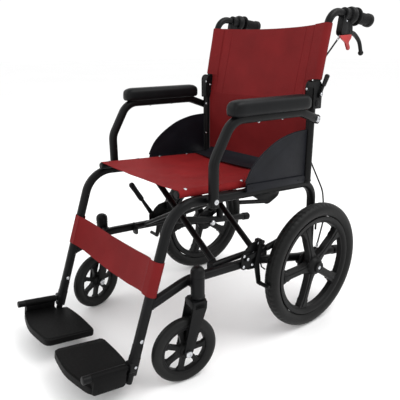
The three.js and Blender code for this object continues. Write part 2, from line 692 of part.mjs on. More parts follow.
const posed = [
  ['caster_fork', casterFork, FRAME_PAINT],
  ['caster_tyre', casterTyre, RUBBER],
  ['caster_rim', casterRim, PLASTIC],
  ['caster_axle', casterAxle, STEEL],
  ['parking_brake_lever', parkingBrakeLever, PLASTIC],
  ['parking_brake_shoe', parkingBrakeShoe, STEEL],
];

const chair = new THREE.Group();
chair.name = 'transport_wheelchair';
for (const [name, build, material] of alike) {
  const body = build();
  chair.add(part(`${name}_left`, body, material), part(`${name}_right`, body, material, 'right'));
}
for (const [name, build, material] of posed) {
  for (const side of ['left', 'right']) {
    chair.add(part(`${name}_${side}`, build(side), material, side));
  }
}
chair.add(part('cross_brace_a', braceA(), FRAME_PAINT));
chair.add(part('cross_brace_b', braceB(), FRAME_PAINT));
chair.add(part('seat_sling', seatSling(), FABRIC));
chair.add(part('back_sling', backSling(), FABRIC));
chair.add(part('calf_strap', calfStrap(), FABRIC));
chair.add(part('lap_belt', lapBelt(), WEBBING));
for (const mesh of chair.children) {
  mesh.geometry.translate(0, AXLE_Y, 0);
}

export default chair;
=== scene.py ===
import math

import bmesh
import bpy
from mathutils import Matrix, Quaternion, Vector, noise


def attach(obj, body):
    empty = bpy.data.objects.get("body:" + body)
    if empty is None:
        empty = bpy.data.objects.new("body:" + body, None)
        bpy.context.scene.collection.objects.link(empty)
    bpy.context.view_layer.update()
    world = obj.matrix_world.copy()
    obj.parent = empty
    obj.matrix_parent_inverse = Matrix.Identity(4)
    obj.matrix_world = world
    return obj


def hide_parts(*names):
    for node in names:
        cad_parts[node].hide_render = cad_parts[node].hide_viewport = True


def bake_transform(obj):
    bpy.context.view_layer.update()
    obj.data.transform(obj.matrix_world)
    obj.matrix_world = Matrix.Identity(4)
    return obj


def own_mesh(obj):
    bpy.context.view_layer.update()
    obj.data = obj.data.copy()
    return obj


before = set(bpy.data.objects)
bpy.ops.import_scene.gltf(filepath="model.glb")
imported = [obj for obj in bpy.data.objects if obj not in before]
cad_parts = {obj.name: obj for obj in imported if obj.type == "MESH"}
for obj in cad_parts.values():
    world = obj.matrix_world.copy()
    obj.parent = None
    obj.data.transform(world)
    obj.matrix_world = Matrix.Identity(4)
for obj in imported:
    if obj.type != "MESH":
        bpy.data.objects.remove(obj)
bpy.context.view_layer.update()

# Shapes are written in millimetres from the point on the floor below the rear axle, with +X to the occupant's
# left and -Y to the front, as in the CAD source. AXLE_Y is that point's Y in the shared frame.
AXLE_Y = 261.0
SIDES = {"left": 1, "right": -1}

FRAME_X, TUBE_R = 225.0, 12.5
LEG_REF, LEG_LEAN = (-540.0, 354.0), 0.342
FRONT_CORNER, REAR_CORNER, REAR_FOOT = (-493.5, 490.0), (42.0, 457.7), (50.0, 204.0)
LOWER_RAIL = [(-579, 239), (-452, 274), (-200, 258), (0, 211), (200, 183)]
POST_X, POST_Y, POST_Z = 241.0, -5.0, (468.0, 690.0)
BACK_AXIS, BACK_LEAN = (0.0, 706.0), 0.2035
HANDLE_CORNER, HANDLE_END, CANE_R = (53.0, 962.0), (240.0, 939.0), 11.0
ARM_X, ARM_FRONT_Y, ARM_TOP_Z, ARM_PIVOT = 258.0, -391.0, 689.0, (2.0, 661.0)
ARM_BEND = (-332.0, 588.0)
WHEEL_X, WHEEL_R, SPOKES, FIRST_SPOKE = 280.0, 203.0, 5, 37.0
CASTER_AT, CASTER_R, CASTER_TRAIL, CASTER_SPOKES = (264.0, -449.0), 94.0, 42.0, 7
CASTER_TURN = {"left": -9.5, "right": 14.0}
HINGE_X, HINGE_Z, HINGE_Y = 202.0, 276.0, (-352.0, -150.0)
SEAT_RAIL_X, SEAT_RAIL_R, SEAT_RAIL_Z, SEAT_SLOPE = 203.0, 10.0, 507.0, -0.06
SEAT_Y = (-465.0, -30.0)
BRACE_TOP_Z, BRACE_STEP = 487.0, 20.0
BRACE_Y = [(-337.0, -303.0), (-183.0, -133.0)]
PLATE_PITCH, PLATE_AXIS = math.radians(9), (-632.0, 89.0)
LEVER_PIVOT, SHOE_PIVOT = (-256.0, 285.0), (-222.0, 262.0)
LEVER_ANGLE = {"left": 9.5, "right": 122.5}
SHOE_ANGLE = {"left": 0, "right": -22}
BRAKE_PIVOT, RELEASE_PIVOT = (140.0, 905.0), (7.0, 732.0)


def leg(z):
    return (LEG_REF[0] - LEG_LEAN * (LEG_REF[1] - z), z)


def seat_z(y):
    return SEAT_RAIL_Z + SEAT_SLOPE * (y - SEAT_Y[0])


def handle(y):
    rise = (HANDLE_END[1] - HANDLE_CORNER[1]) / (HANDLE_END[0] - HANDLE_CORNER[0])
    return (y, HANDLE_CORNER[1] + rise * (y - HANDLE_CORNER[0]))


# ---- materials ----
def shader(name, color, roughness, metallic=0.0, specular=0.5):
    material = bpy.data.materials.new(name)
    material.use_nodes = True
    surface = material.node_tree.nodes["Principled BSDF"]
    surface.inputs["Base Color"].default_value = (*color, 1)
    surface.inputs["Roughness"].default_value = roughness
    surface.inputs["Metallic"].default_value = metallic
    surface.inputs["Specular IOR Level"].default_value = specular
    return material, material.node_tree, surface


def node(tree, kind, **inputs):
    made = tree.nodes.new(kind)
    for key, value in inputs.items():
        made.inputs[key.replace("_", " ")].default_value = value
    return made


def coordinates(tree, source, scale=(1, 1, 1)):
    mapping = tree.nodes.new("ShaderNodeMapping")
    mapping.inputs["Scale"].default_value = scale
    tree.links.new(tree.nodes.new("ShaderNodeTexCoord").outputs[source], mapping.inputs["Vector"])
    return mapping.outputs["Vector"]


def ramp(tree, value, low, high, at=(0.3, 0.7)):
    colors = tree.nodes.new("ShaderNodeValToRGB")
    for element, place, color in zip(colors.color_ramp.elements, at, (low, high)):
        element.position = place
        element.color = (*color, 1)
    tree.links.new(value, colors.inputs["Fac"])
    return colors.outputs["Color"]


def spread(tree, value, low, high):
    mapped = tree.nodes.new("ShaderNodeMapRange")
    mapped.inputs["To Min"].default_value = low
    mapped.inputs["To Max"].default_value = high
    tree.links.new(value, mapped.inputs["Value"])
    return mapped.outputs["Result"]


def cloudy(tree, where, scale, detail=4.0):
    made = node(tree, "ShaderNodeTexNoise", Scale=scale, Detail=detail)
    tree.links.new(where, made.inputs["Vector"])
    return made.outputs["Fac"]


def bump(tree, surface, height, strength, distance):
    made = node(tree, "ShaderNodeBump", Strength=strength, Distance=distance)
    tree.links.new(height, made.inputs["Height"])
    before = surface.inputs["Normal"].links
    if before:
        tree.links.new(before[0].from_socket, made.inputs["Normal"])
    tree.links.new(made.outputs["Normal"], surface.inputs["Normal"])


def shade(color, factor):
    return tuple(min(1, c * factor) for c in color)


def grained(name, color, roughness, specular, grain, depth, metallic=0.0):
    """Paint, plastic or rubber: fine grain, soft patches of tone and gloss, and faint scuffs."""
    patch, spots = 18, 0.12
    material, tree, surface = shader(name, color, roughness, metallic, specular)
    where = coordinates(tree, "Object")
    patches = cloudy(tree, where, patch)
    tree.links.new(ramp(tree, patches, shade(color, 0.8), shade(color, 1.3)), surface.inputs["Base Color"])
    scuffs = cloudy(tree, where, patch * 9, 8.0)
    tree.links.new(spread(tree, scuffs, roughness - spots, roughness + spots), surface.inputs["Roughness"])
    bump(tree, surface, cloudy(tree, where, grain, 2.0), depth, 0.0003)
    return material


def woven(name, color, thread, roughness=0.7, specular=0.12):
    """Coated woven cloth: crossing threads, slubs and slow changes of tone. The UV map is in metres."""
    material, tree, surface = shader(name, color, roughness, 0.0, specular)
    where = coordinates(tree, "UV")
    threads = []
    for direction in ("X", "Y"):
        wave = node(tree, "ShaderNodeTexWave", Scale=1 / (thread * 6.283), Distortion=0.6, Detail=1.0)
        wave.bands_direction = direction
        tree.links.new(where, wave.inputs["Vector"])
        threads.append(wave.outputs["Fac"])
    weave = tree.nodes.new("ShaderNodeMath")
    weave.operation = "MULTIPLY"
    tree.links.new(threads[0], weave.inputs[0])
    tree.links.new(threads[1], weave.inputs[1])
    slubs = cloudy(tree, coordinates(tree, "UV", (40, 700, 1)), 1.0, 3.0)
    tone = tree.nodes.new("ShaderNodeMath")
    tone.operation = "MULTIPLY_ADD"
    tone.inputs[1].default_value = 0.35
    tree.links.new(slubs, tone.inputs[0])
    tree.links.new(cloudy(tree, where, 9.0), tone.inputs[2])
    tree.links.new(ramp(tree, tone.outputs[0], shade(color, 0.86), shade(color, 1.14), (0.45, 0.85)),
                   surface.inputs["Base Color"])
    bump(tree, surface, weave.outputs[0], 0.35, 0.0004)
    bump(tree, surface, cloudy(tree, where, 28.0, 5.0), 0.25, 0.002)
    return material


# The seat and the back are one cloth. The seat's brighter copy of the crimson is painted light falling on its
# top.
CRIMSON = (0.148, 0.0085, 0.0095)
SEAT_CRIMSON_PAINTED_TOPLIGHT = (0.19, 0.0085, 0.0095)
# For each slot: name, colour, roughness, specular, grain, its depth, and metallic where that is not 0.
GRAINED = {
    "frame_paint": ("satin_black_powder_coat", (0.003, 0.0031, 0.0034), 0.4, 0.14, 1600, 0.15),
    "lever_paint": ("gloss_black_paint", (0.003, 0.003, 0.0033), 0.3, 0.2, 1200, 0.08),
    "bolt_steel": ("zinc_plated_steel", (0.55, 0.56, 0.58), 0.28, 0.5, 700, 0.1, 1.0),
    "black_plastic": ("moulded_black_plastic", (0.0032, 0.0033, 0.0036), 0.45, 0.14, 1100, 0.3),
    "wheel_plastic": ("glass_filled_nylon", (0.0034, 0.0034, 0.0036), 0.46, 0.16, 800, 0.3),
    "footplate_plastic": ("footplate_plastic", (0.002, 0.002, 0.0021), 0.55, 0.1, 700, 0.5),
    "guard_plastic": ("guard_plastic", (0.0055, 0.006, 0.0085), 0.45, 0.14, 1000, 0.25),
    "armrest_pad": ("foam_skin", (0.0036, 0.004, 0.0046), 0.42, 0.13, 420, 0.35),
    "grip_rubber": ("grip_rubber", (0.0034, 0.0034, 0.0038), 0.5, 0.16, 900, 0.4),
    "rear_tyre": ("tyre_rubber", (0.0042, 0.0043, 0.0042), 0.5, 0.17, 600, 0.35),
    "caster_tyre": ("caster_rubber", (0.0046, 0.0047, 0.0045), 0.48, 0.2, 600, 0.3),
    "red_plastic": ("red_plastic", (0.34, 0.012, 0.012), 0.38, 0.5, 900, 0.2),
    "cable_sheath": ("cable_sheath", (0.004, 0.004, 0.0045), 0.35, 0.35, 900, 0.15),
}
MATERIALS = {slot: grained(*values) for slot, values in GRAINED.items()}
MATERIALS.update({
    # The seat takes the brighter copy of the crimson: painted light from above.
    "seat_fabric": woven("seat_cloth", SEAT_CRIMSON_PAINTED_TOPLIGHT, 0.0011),
    "back_fabric": woven("back_cloth", CRIMSON, 0.0011),
    "strap_fabric": woven("strap_cloth", CRIMSON, 0.0011),
    "webbing": woven("belt_webbing", (0.012, 0.012, 0.016), 0.0022, roughness=0.6),
})
THREAD = woven("stitching_thread", (0.15, 0.008, 0.01), 0.0006)


# ---- shapes: each is (corners in mm, faces) ----
def join(*shapes):
    corners, faces = [], []
    for more_corners, more_faces in shapes:
        base = len(corners)
        corners += more_corners
        faces += [[i + base for i in face] for face in more_faces]
    return corners, faces


def moved(shape, matrix):
    return [matrix @ Vector(c) for c in shape[0]], shape[1]


def mirrored(shape):
    return [Vector((-x, y, z)) for x, y, z in shape[0]], [face[::-1] for face in shape[1]]


def bent(corners, radii, step=6):
    """Points along straight runs and round bends, close together only in the bends."""
    points = [Vector(c) for c in corners]
    path = [points[0]]
    for i, radius in enumerate(radii, 1):
        before = (points[i] - points[i - 1]).normalized()
        after = (points[i + 1] - points[i]).normalized()
        angle = before.angle(after)
        axis = before.cross(after).normalized()
        start = points[i] - before * radius * math.tan(angle / 2)
        centre = start + axis.cross(before) * radius
        count = max(2, round(math.degrees(angle) / step))
        for k in range(count + 1):
            path.append(centre + Quaternion(axis, angle * k / count) @ (start - centre))
    path.append(points[-1])
    return path


def side(x, corners):
    return [(x, y, z) for y, z in corners]


def skin(rings):
    """The closed surface over rings of points, shut at both ends."""
    n = len(rings[0])
    faces = []
    for r in range(len(rings) - 1):
        for k in range(n):
            a, b = r * n + k, r * n + (k + 1) % n
            faces.append([a, b, b + n, a + n])
    faces.append(list(range(n))[::-1])
    faces.append(list(range((len(rings) - 1) * n, len(rings) * n)))
    return [point for ring in rings for point in ring], faces


def sweep(path, radius, sides=20, cap=0.25, section=None):
    """A round bar along a path, or one with a section of (across, up) points; `cap` is its ends' dome."""
    path = [Vector(p) for p in path]
    radii = radius if isinstance(radius, list) else [radius] * len(path)
    last = len(path) - 1
    tangents = [(path[min(i + 1, last)] - path[max(i - 1, 0)]).normalized() for i in range(last + 1)]
    first = tangents[0]
    up = Vector((1, 0, 0)) if abs(first.x) < 0.8 else Vector((0, 0, 1))
    up = (up - first * up.dot(first)).normalized()
    outline = section or oval(2, 2, sides)
    rings = []
    ends = [(1.0, 0.0)] if cap == 0 else [(math.cos(a), math.sin(a) * cap) for a in (1.2, 0.8, 0.4)]
    for i, (point, tangent) in enumerate(zip(path, tangents)):
        if i:
            up = tangents[i - 1].rotation_difference(tangent) @ up
        across = tangent.cross(up)

        def ring(shrink, push):
            middle = point + tangent * push * radii[i]
            return [middle + (across * a + up * b) * radii[i] * shrink for a, b in outline]

        if i == 0 and cap:
            rings += [ring(shrink, -push) for shrink, push in ends]
        rings.append(ring(1, 0))
        if i == last and cap:
            rings += [ring(shrink, push) for shrink, push in reversed(ends)]
    return skin(rings)


def rod(start, end, radius, sides=20, cap=0.25):
    return sweep([start, end], radius, sides, cap)


AXES = {
    "x": ((1, 0, 0), (0, 1, 0), (0, 0, 1)),
    "y": ((0, 1, 0), (0, 0, 1), (1, 0, 0)),
    "z": ((0, 0, 1), (1, 0, 0), (0, 1, 0)),
}


def lathe(profile, centre, axis="x", segments=72):
    """A turned shape. Its profile of (along, radius) closes on itself where it starts off the axis."""
    along, first, second = (Vector(v) for v in (AXES[axis] if isinstance(axis, str) else axis))
    centre = Vector(centre)
    closed = profile[0][1] > 0
    corners, faces, rows = [], [], []
    for place, radius in profile:
        if radius == 0:
            rows.append([len(corners)] * segments)
            corners.append(centre + along * place)
            continue
        rows.append(list(range(len(corners), len(corners) + segments)))
        for k in range(segments):
            angle = 2 * math.pi * k / segments
            spoke = first * math.cos(angle) + second * math.sin(angle)
            corners.append(centre + along * place + spoke * radius)
    count = len(rows) if closed else len(rows) - 1
    for r in range(count):
        a, b = rows[r], rows[(r + 1) % len(rows)]
        for k in range(segments):
            face = [a[k], a[(k + 1) % segments], b[(k + 1) % segments], b[k]]
            faces.append(list(dict.fromkeys(face)))
    return corners, faces


def rounded(outline, radius, steps=4):
    """An outline of 2-D points with every corner rounded off."""
    result = []
    count = len(outline)
    for i, corner in enumerate(outline):
        point = Vector(corner)
        before, after = Vector(outline[i - 1]) - point, Vector(outline[(i + 1) % count]) - point
        reach = min(radius, before.length * 0.45, after.length * 0.45)
        a, b = point + before.normalized() * reach, point + after.normalized() * reach
        for k in range(steps + 1):
            t = k / steps
            result.append(a * (1 - t) ** 2 + point * 2 * t * (1 - t) + b * t * t)
    return [tuple(p) for p in result]


def slab(outline, low, high, axis="x", bevel=1.2, steps=2):
    """A plate with soft edges from low to high along an axis; the outline lies in the other two axes."""
    mesh = bmesh.new()

    def layer(t):
        places = {"x": [(t, a, b) for a, b in outline], "y": [(b, t, a) for a, b in outline],
                  "z": [(a, b, t) for a, b in outline]}
        return [mesh.verts.new(place) for place in places[axis]]

    bottom, top = layer(low), layer(high)
    mesh.faces.new(bottom[::-1])
    mesh.faces.new(top)
    for i in range(len(outline)):
        j = (i + 1) % len(outline)
        mesh.faces.new([bottom[i], bottom[j], top[j], top[i]])
    rim = [e for e in mesh.edges if (e.verts[0] in bottom) == (e.verts[1] in bottom)]
    if bevel:
        bmesh.ops.bevel(mesh, geom=rim, offset=bevel, segments=steps, profile=0.5, affect="EDGES",
                        clamp_overlap=True)
    bmesh.ops.recalc_face_normals(mesh, faces=mesh.faces)
    mesh.verts.index_update()
    shape = [v.co.copy() for v in mesh.verts], [[v.index for v in f.verts] for f in mesh.faces]
    mesh.free()
    return shape


def plate(outline, corner, low, high, axis="x", bevel=1.2, steps=2):
    """A slab whose outline has rounded corners."""
    return slab(rounded(outline, corner), low, high, axis, bevel, steps)


def box(xs, ys, zs, corner=3, bevel=1.0, axis="z"):
    spans = {"x": (ys, zs, xs), "y": (zs, xs, ys), "z": (xs, ys, zs)}[axis]
    (a0, a1), (b0, b1), (low, high) = spans
    return plate([(a0, b0), (a1, b0), (a1, b1), (a0, b1)], corner, low, high, axis, bevel)


def bolt(centre, direction, radius=5.5, height=3.2):
    """A domed screw head with a washer and a round socket."""
    axes, rim = along_axes(direction), radius * 1.35
    washer = [(-0.4, 0), (-0.4, rim), (0.5, rim), (0.9, radius * 1.2), (0.9, 0)]
    head = [(0.8, 0), (0.8, radius), (height * 0.5, radius), (height * 0.85, radius * 0.8),
            (height, radius * 0.55), (height * 0.55, radius * 0.5), (height * 0.5, 0)]
    return join(lathe(washer, centre, axes, 24), lathe(head, centre, axes, 24))


def sheet(point, across, down, thickness):
    """A closed cloth shell over a grid of point(u, v), in mm."""
    nu, nv = across, down
    grid = [[Vector(point(i / nu, j / nv)) for i in range(nu + 1)] for j in range(nv + 1)]
    corners = []
    for sign in (0.5, -0.5):
        for j in range(nv + 1):
            for i in range(nu + 1):
                du = grid[j][min(i + 1, nu)] - grid[j][max(i - 1, 0)]
                dv = grid[min(j + 1, nv)][i] - grid[max(j - 1, 0)][i]
                corners.append(grid[j][i] + du.cross(dv).normalized() * sign * thickness)

    def at(i, j, face):
        return face * (nu + 1) * (nv + 1) + j * (nu + 1) + i

    faces = []
    for j in range(nv):
        for i in range(nu):
            faces.append([at(i, j, 0), at(i + 1, j, 0), at(i + 1, j + 1, 0), at(i, j + 1, 0)])
            faces.append([at(i, j + 1, 1), at(i + 1, j + 1, 1), at(i + 1, j, 1), at(i, j, 1)])
    for j in range(nv):
        faces.append([at(0, j, 0), at(0, j + 1, 0), at(0, j + 1, 1), at(0, j, 1)])
        faces.append([at(nu, j + 1, 0), at(nu, j, 0), at(nu, j, 1), at(nu, j + 1, 1)])
    for i in range(nu):
        faces.append([at(i + 1, 0, 0), at(i, 0, 0), at(i, 0, 1), at(i + 1, 0, 1)])
        faces.append([at(i, nv, 0), at(i + 1, nv, 0), at(i + 1, nv, 1), at(i, nv, 1)])
    return corners, faces


# ---- pieces ----
def piece(name, shape, slot, body, nodes=(), material=None, angle=38):
    corners, faces = shape
    mesh = bpy.data.meshes.new(name)
    mesh.from_pydata([(x / 1000, (y + AXLE_Y) / 1000, z / 1000) for x, y, z in corners], [], faces)
    tidy = bmesh.new()
    tidy.from_mesh(mesh)
    bmesh.ops.recalc_face_normals(tidy, faces=tidy.faces)
    tidy.to_mesh(mesh)
    tidy.free()
    mesh.shade_smooth()
    mesh.set_sharp_from_angle(angle=math.radians(angle))
    mesh.materials.append(material or MATERIALS[slot])
    made = bpy.data.objects.new(name, mesh)
    bpy.context.scene.collection.objects.link(made)
    if body:
        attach(made, body)
    if nodes:
        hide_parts(*nodes)
    return made


def pair(name, shape, slot, body, node_name=None, material=None, angle=38):
    """The left piece and its mirror image. `body` and `node_name` are given without their side."""
    made = {}
    for which in SIDES:
        nodes = [f"{node_name}_{which}"] if node_name else []
        made[which] = piece(f"{name}_{which}", shape if which == "left" else mirrored(shape), slot,
                            f"{body}_{which}", nodes, material, angle)
    return made


def fitted(build, slot, body, **looks):
    """A left and right pair that stands for the CAD nodes of the same name."""
    name = build.__name__
    return pair(name, build(), slot, body, name, **looks)


def squarish(angle, power):
    """A point on a circle that is flattened towards a square."""
    c, s = math.cos(angle), math.sin(angle)
    reach = (abs(c) ** power + abs(s) ** power) ** (-1 / power)
    return c * reach, s * reach


# The tubes' section: round with slightly flattened sides.
TUBE = [squarish(2 * math.pi * k / 28, 2.7) for k in range(28)]


def oval(narrow, wide, sides=24):
    return [(math.cos(2 * math.pi * k / sides) * narrow / 2, math.sin(2 * math.pi * k / sides) * wide / 2)
            for k in range(sides)]


def along_axes(direction):
    along = Vector(direction).normalized()
    first = along.orthogonal().normalized()
    return along, first, along.cross(first)


def weld(centre, direction, radius, bead=1.8):
    """A weld bead running round a tube's end."""
    ring = [(bead * math.cos(a), radius + bead * math.sin(a)) for a in (math.pi * k / 4 for k in range(8))]
    return lathe(ring, centre, along_axes(direction), 36)


def ball(centre, radius):
    profile = [(-radius * math.cos(math.pi * k / 12), radius * math.sin(math.pi * k / 12)) for k in range(13)]
    profile[0] = (-radius, 0)
    profile[-1] = (radius, 0)
    return lathe(profile, centre, "z", 28)


def smooth_line(points, steps=6):
    """A curve through given 2-D points."""
    result = []
    for i in range(len(points) - 1):
        p = [Vector(points[min(max(i + k, 0), len(points) - 1)]) for k in (-1, 0, 1, 2)]
        for s in range(steps):
            t = s / steps
            curve = (2 * p[1] + (p[2] - p[0]) * t + (2 * p[0] - 5 * p[1] + 4 * p[2] - p[3]) * t * t
                     + (3 * p[1] - p[0] - 3 * p[2] + p[3]) * t ** 3)
            result.append(tuple(0.5 * curve))
    return result + [tuple(points[-1])]


def x_rod(y, z, x0, x1, radius, sides=28, cap=0.15):
    return rod((x0, y, z), (x1, y, z), radius, sides, cap)


# ---- side frames ----
def side_frame():
    corners = [leg(136), FRONT_CORNER, REAR_CORNER, REAR_FOOT]
    main = sweep(bent(side(FRAME_X, corners), [90, 60]), TUBE_R, section=TUBE)
    rail = sweep(bent(side(FRAME_X, LOWER_RAIL), [150, 200, 200]), TUBE_R, section=TUBE)
    post = rod((POST_X, POST_Y, POST_Z[0]), (POST_X, POST_Y, POST_Z[1]), TUBE_R, 32)
    fittings = [
        x_rod(ARM_FRONT_Y, 485, FRAME_X, ARM_X - TUBE_R - 0.4, 9),
        x_rod(0, WHEEL_R, FRAME_X, 250, 15, 36),
        weld((FRAME_X + TUBE_R, 0, WHEEL_R), (1, 0, 0), 15),
        weld((FRAME_X, -571, 241), (0, 1, 0.28), 12.5),
        weld((FRAME_X, 49, 219), (0, 0, 1), 12.5),
        weld((POST_X, POST_Y, 474), (0, 0, 1), 12.5),
    ]
    return join(main, rail, post, *fittings, caster_housing(), seat_stay(), *hinge_lugs(), *seat_cradles())


def caster_housing():
    x, y = CASTER_AT
    profile = [(238, 0), (238, 18), (239, 19.5), (243, 19.5), (244, 18.4), (307, 18.4), (308, 0)]
    tube = lathe(profile, (x, y, 0), "z", 48)
    weld_block = box((FRAME_X, x), (y - 10, y + 10), (262, 284), 2, 2.5, "x")
    return join(tube, weld_block, weld((x, y, 296), (0, 0, 1), 18.2, 1.2))


def caster_cap():
    profile = [(303, 0), (303, 19), (311, 19), (317, 17.8), (322, 14.2), (325.4, 8.6), (327, 0)]
    return lathe(profile, (*CASTER_AT, 0), "z", 48)


def seat_stay():
    outline = rounded([(-221, 462), (-166, 426), (-152, 426), (-112, 444), (-112, 460)], 9)
    return join(slab(outline, 222, 228, "x", 1), sweep([(FRAME_X, -268, 452), (FRAME_X, -157, 433)], 6))


def hinge_lugs():
    lugs = []
    inner, outer, top, bottom = HINGE_X - 12, FRAME_X - 6, HINGE_Z + 12, HINGE_Z - 28
    for y, inward in ((HINGE_Y[0] - 3, 1), (HINGE_Y[1] + 3, -1)):
        outline = rounded([(inner, top), (outer, top), (outer, bottom), (inner, bottom)], 9)
        lugs.append(slab([(z, x) for x, z in outline], y - 2.5, y + 2.5, "y", 0.8))
        lugs.append(rod((HINGE_X, y, HINGE_Z), (HINGE_X, y + inward * 18, HINGE_Z), 5))
    return lugs


def seat_cradles():
    cradles = []
    for y in (-398, -66):
        top = seat_z(y) - SEAT_RAIL_R - 1.2
        cradles.append(box((SEAT_RAIL_X - 9, FRAME_X - 4), (y - 12, y + 12), (top - 9, top), 3, 2))
    return cradles


def tipping_cap():
    (y0, z0), (y1, z1) = LOWER_RAIL[-2:]
    slope = (z1 - z0) / (y1 - y0)
    profile = [(0, 0), (0, 14.6), (1.5, 15.5), (22, 15.5), (23, 14.7), (24, 15.5), (28, 15.4), (31, 13),
               (32, 9), (32.3, 0)]
    return lathe(profile, (FRAME_X, 176, z1 + slope * (176 - y1)), along_axes((0, 1, slope)), 40)


fitted(side_frame, "frame_paint", "frame")
pair("caster_cap", caster_cap(), "black_plastic", "frame")
fitted(tipping_cap, "black_plastic", "frame")


# ---- footrests ----
PLATE = Matrix.Translation((0, *PLATE_AXIS)) @ Matrix.Rotation(-PLATE_PITCH, 4, "X")


def footrest_hanger():
    low, high = (Vector((FRAME_X, *leg(z))) for z in (44, 190))
    clamp_low, clamp_high = (Vector((FRAME_X, *leg(z))) for z in (68, 112))
    clamp = sweep([clamp_low, clamp_high], 14, 32, 0.12, TUBE)
    collar = sweep([Vector((FRAME_X, *leg(z))) for z in (106, 141)], 13.1, 32, 0.12, TUBE)
    pin = rod((226, 0, 0), (226, -119, 0), 7)
    end_cap = rod((226, -118.4, 0), (226, -137, 0), 10, 28, 0.2)
    ear = box((212, 240), (-14, 6), (-13, 13), 5, 3, "y")
    return join(rod(low, high, 9.5, 28), clamp, collar, moved(join(pin, end_cap, ear), PLATE))


def plate_outline():
    front = [(24, -108), (27, -120), (40, -127), (85, -133.5), (130, -136), (178, -129), (222, -118),
             (234, -109), (238, -95)]
    rear = [(204, 12), (162, 19), (120, 22.5), (78, 23), (36, 22), (27, 18), (24, 10)]
    return smooth_line(front, 4) + rounded([(238, -22), (204, -22)], 6) + smooth_line(rear, 4)


def footplate():
    outline = plate_outline()
    slab_body = slab(outline, -43, -26.4, "z", 3.5, 4)
    centre = Vector((130, -55))
    inner = [tuple(centre + (Vector(p) - centre) * 0.93) for p in outline]
    top = slab(inner, -28, -25.4, "z", 1.6, 3)
    web = box((219, 233), (-113, -23), (-27, -3), 4, 3, "x")
    profile = [(0, 0), (0, 9.5), (1.2, 10.7), (96.8, 10.7), (98, 9.5), (98, 0)]
    barrel = lathe(profile, (226, -20, 0), ((0, -1, 0), (1, 0, 0), (0, 0, 1)), 36)
    skirt = plate([(-113, -44), (-23, -44), (-23, 2), (-113, 2)], 6, 229, 237, "x", 2)
    return moved(join(slab_body, top, web, barrel, skirt), PLATE)


fitted(footrest_hanger, "frame_paint", "frame")
fitted(footplate, "footplate_plastic", "footplate")
pair("leg_bolt", join(bolt((FRAME_X + TUBE_R, -608, 155), (1, 0, 0), 4, 2.8),
                      bolt((FRAME_X - TUBE_R, -608, 155), (-1, 0, 0), 4, 2.8)), "bolt_steel", "frame")
pair("clamp_bolt", bolt((FRAME_X + 13.5, *leg(90)), (1, 0, 0), 4, 3), "bolt_steel", "frame")


# ---- arms and skirt guards ----
def armrest_tube():
    front = [(ARM_FRONT_Y, 474), (ARM_FRONT_Y, ARM_BEND[1]), (ARM_BEND[0], ARM_TOP_Z)]
    rear = [(-72, ARM_TOP_Z - 2), (ARM_PIVOT[0] + 9, ARM_PIVOT[1] - 3)]
    points, faces = sweep(bent(side(ARM_X, front + rear), [60, 60, 70]), TUBE_R, section=TUBE)
    for point in points:
        flat = min(1, max(0, (point.y + 44) / 30))
        point.x = ARM_X + (point.x - ARM_X) * (1 - 0.68 * flat * flat * (3 - 2 * flat))
    disc = [(254.3, 0), (254.3, 12.6), (255.4, 13.6), (260.8, 13.6), (261.9, 12.6), (261.9, 0)]
    plug = [(471.5, 0), (471.5, 11), (473, 12.8), (475, 12.8), (475, 0)]
    return join((points, faces), lathe(disc, (0, *ARM_PIVOT), "x", 40),
                lathe(plug, (ARM_X, ARM_FRONT_Y, 0), "z", 32))


def armrest_pivot_bolt():
    head = [(262.2, 0), (262.2, 9), (263, 9), (263.4, 7.4), (266, 7.4), (267.6, 5.4), (268, 3.2),
            (266.6, 2.8), (266.4, 0)]
    return join(x_rod(*ARM_PIVOT, 236, 262, 4), lathe(head, (0, *ARM_PIVOT), "x", 28))


def armrest_pad():
    """A foam pad with a crowned top and blunt rounded ends."""
    y0, y1, z0, z1, half = -338.0, -45.0, 694.0, 737.0, 24.0
    rings, sides, stations = [], 40, 46
    for j in range(stations + 1):
        t = j / stations
        bend = math.sin(math.pi * (t - 0.5)) * 0.5 + 0.5
        y = y0 + (y1 - y0) * (0.35 * bend + 0.65 * t) if 0 < j < stations else (y0 if j == 0 else y1)
        nearest = min(y - y0, y1 - y)
        swell = max(0.0, 1 - (1 - min(1, nearest / 34)) ** 2.3) ** (1 / 2.3)
        width, tall = half * (0.5 + 0.5 * swell), (z1 - z0) * (0.5 + 0.5 * swell)
        middle = z0 + 6 * (1 - swell) + tall / 2
        ring = []
        for k in range(sides):
            angle = 2 * math.pi * k / sides
            out, up = squarish(angle, 2.7 if math.sin(angle) > 0 else 4.0)
            ring.append(Vector((ARM_X + width * out, y, middle + tall / 2 * up)))
        rings.append(ring)
    return skin(rings)


def guard_arc():
    corners = [(-262, 512), (-240, 548), (-203, 579), (-153, 606), (-113, 619), (-68, 627), (-19, 629)]
    return smooth_line(corners, 4)


def skirt_guard():
    outline = guard_arc() + [(-18.5, 486), (-262, 500)]
    panel = slab(outline, 239.9, 242.9, "x", 1)
    edge = sweep([(241.4, y, z) for y, z in guard_arc()], 2.6, 12, 1.0)
    strip = plate([(-261, 483), (-261, 505), (-20, 492), (-20, 470)], 4, 238.2, 246.2, "x", 2, 3)
    return join(panel, edge, strip)


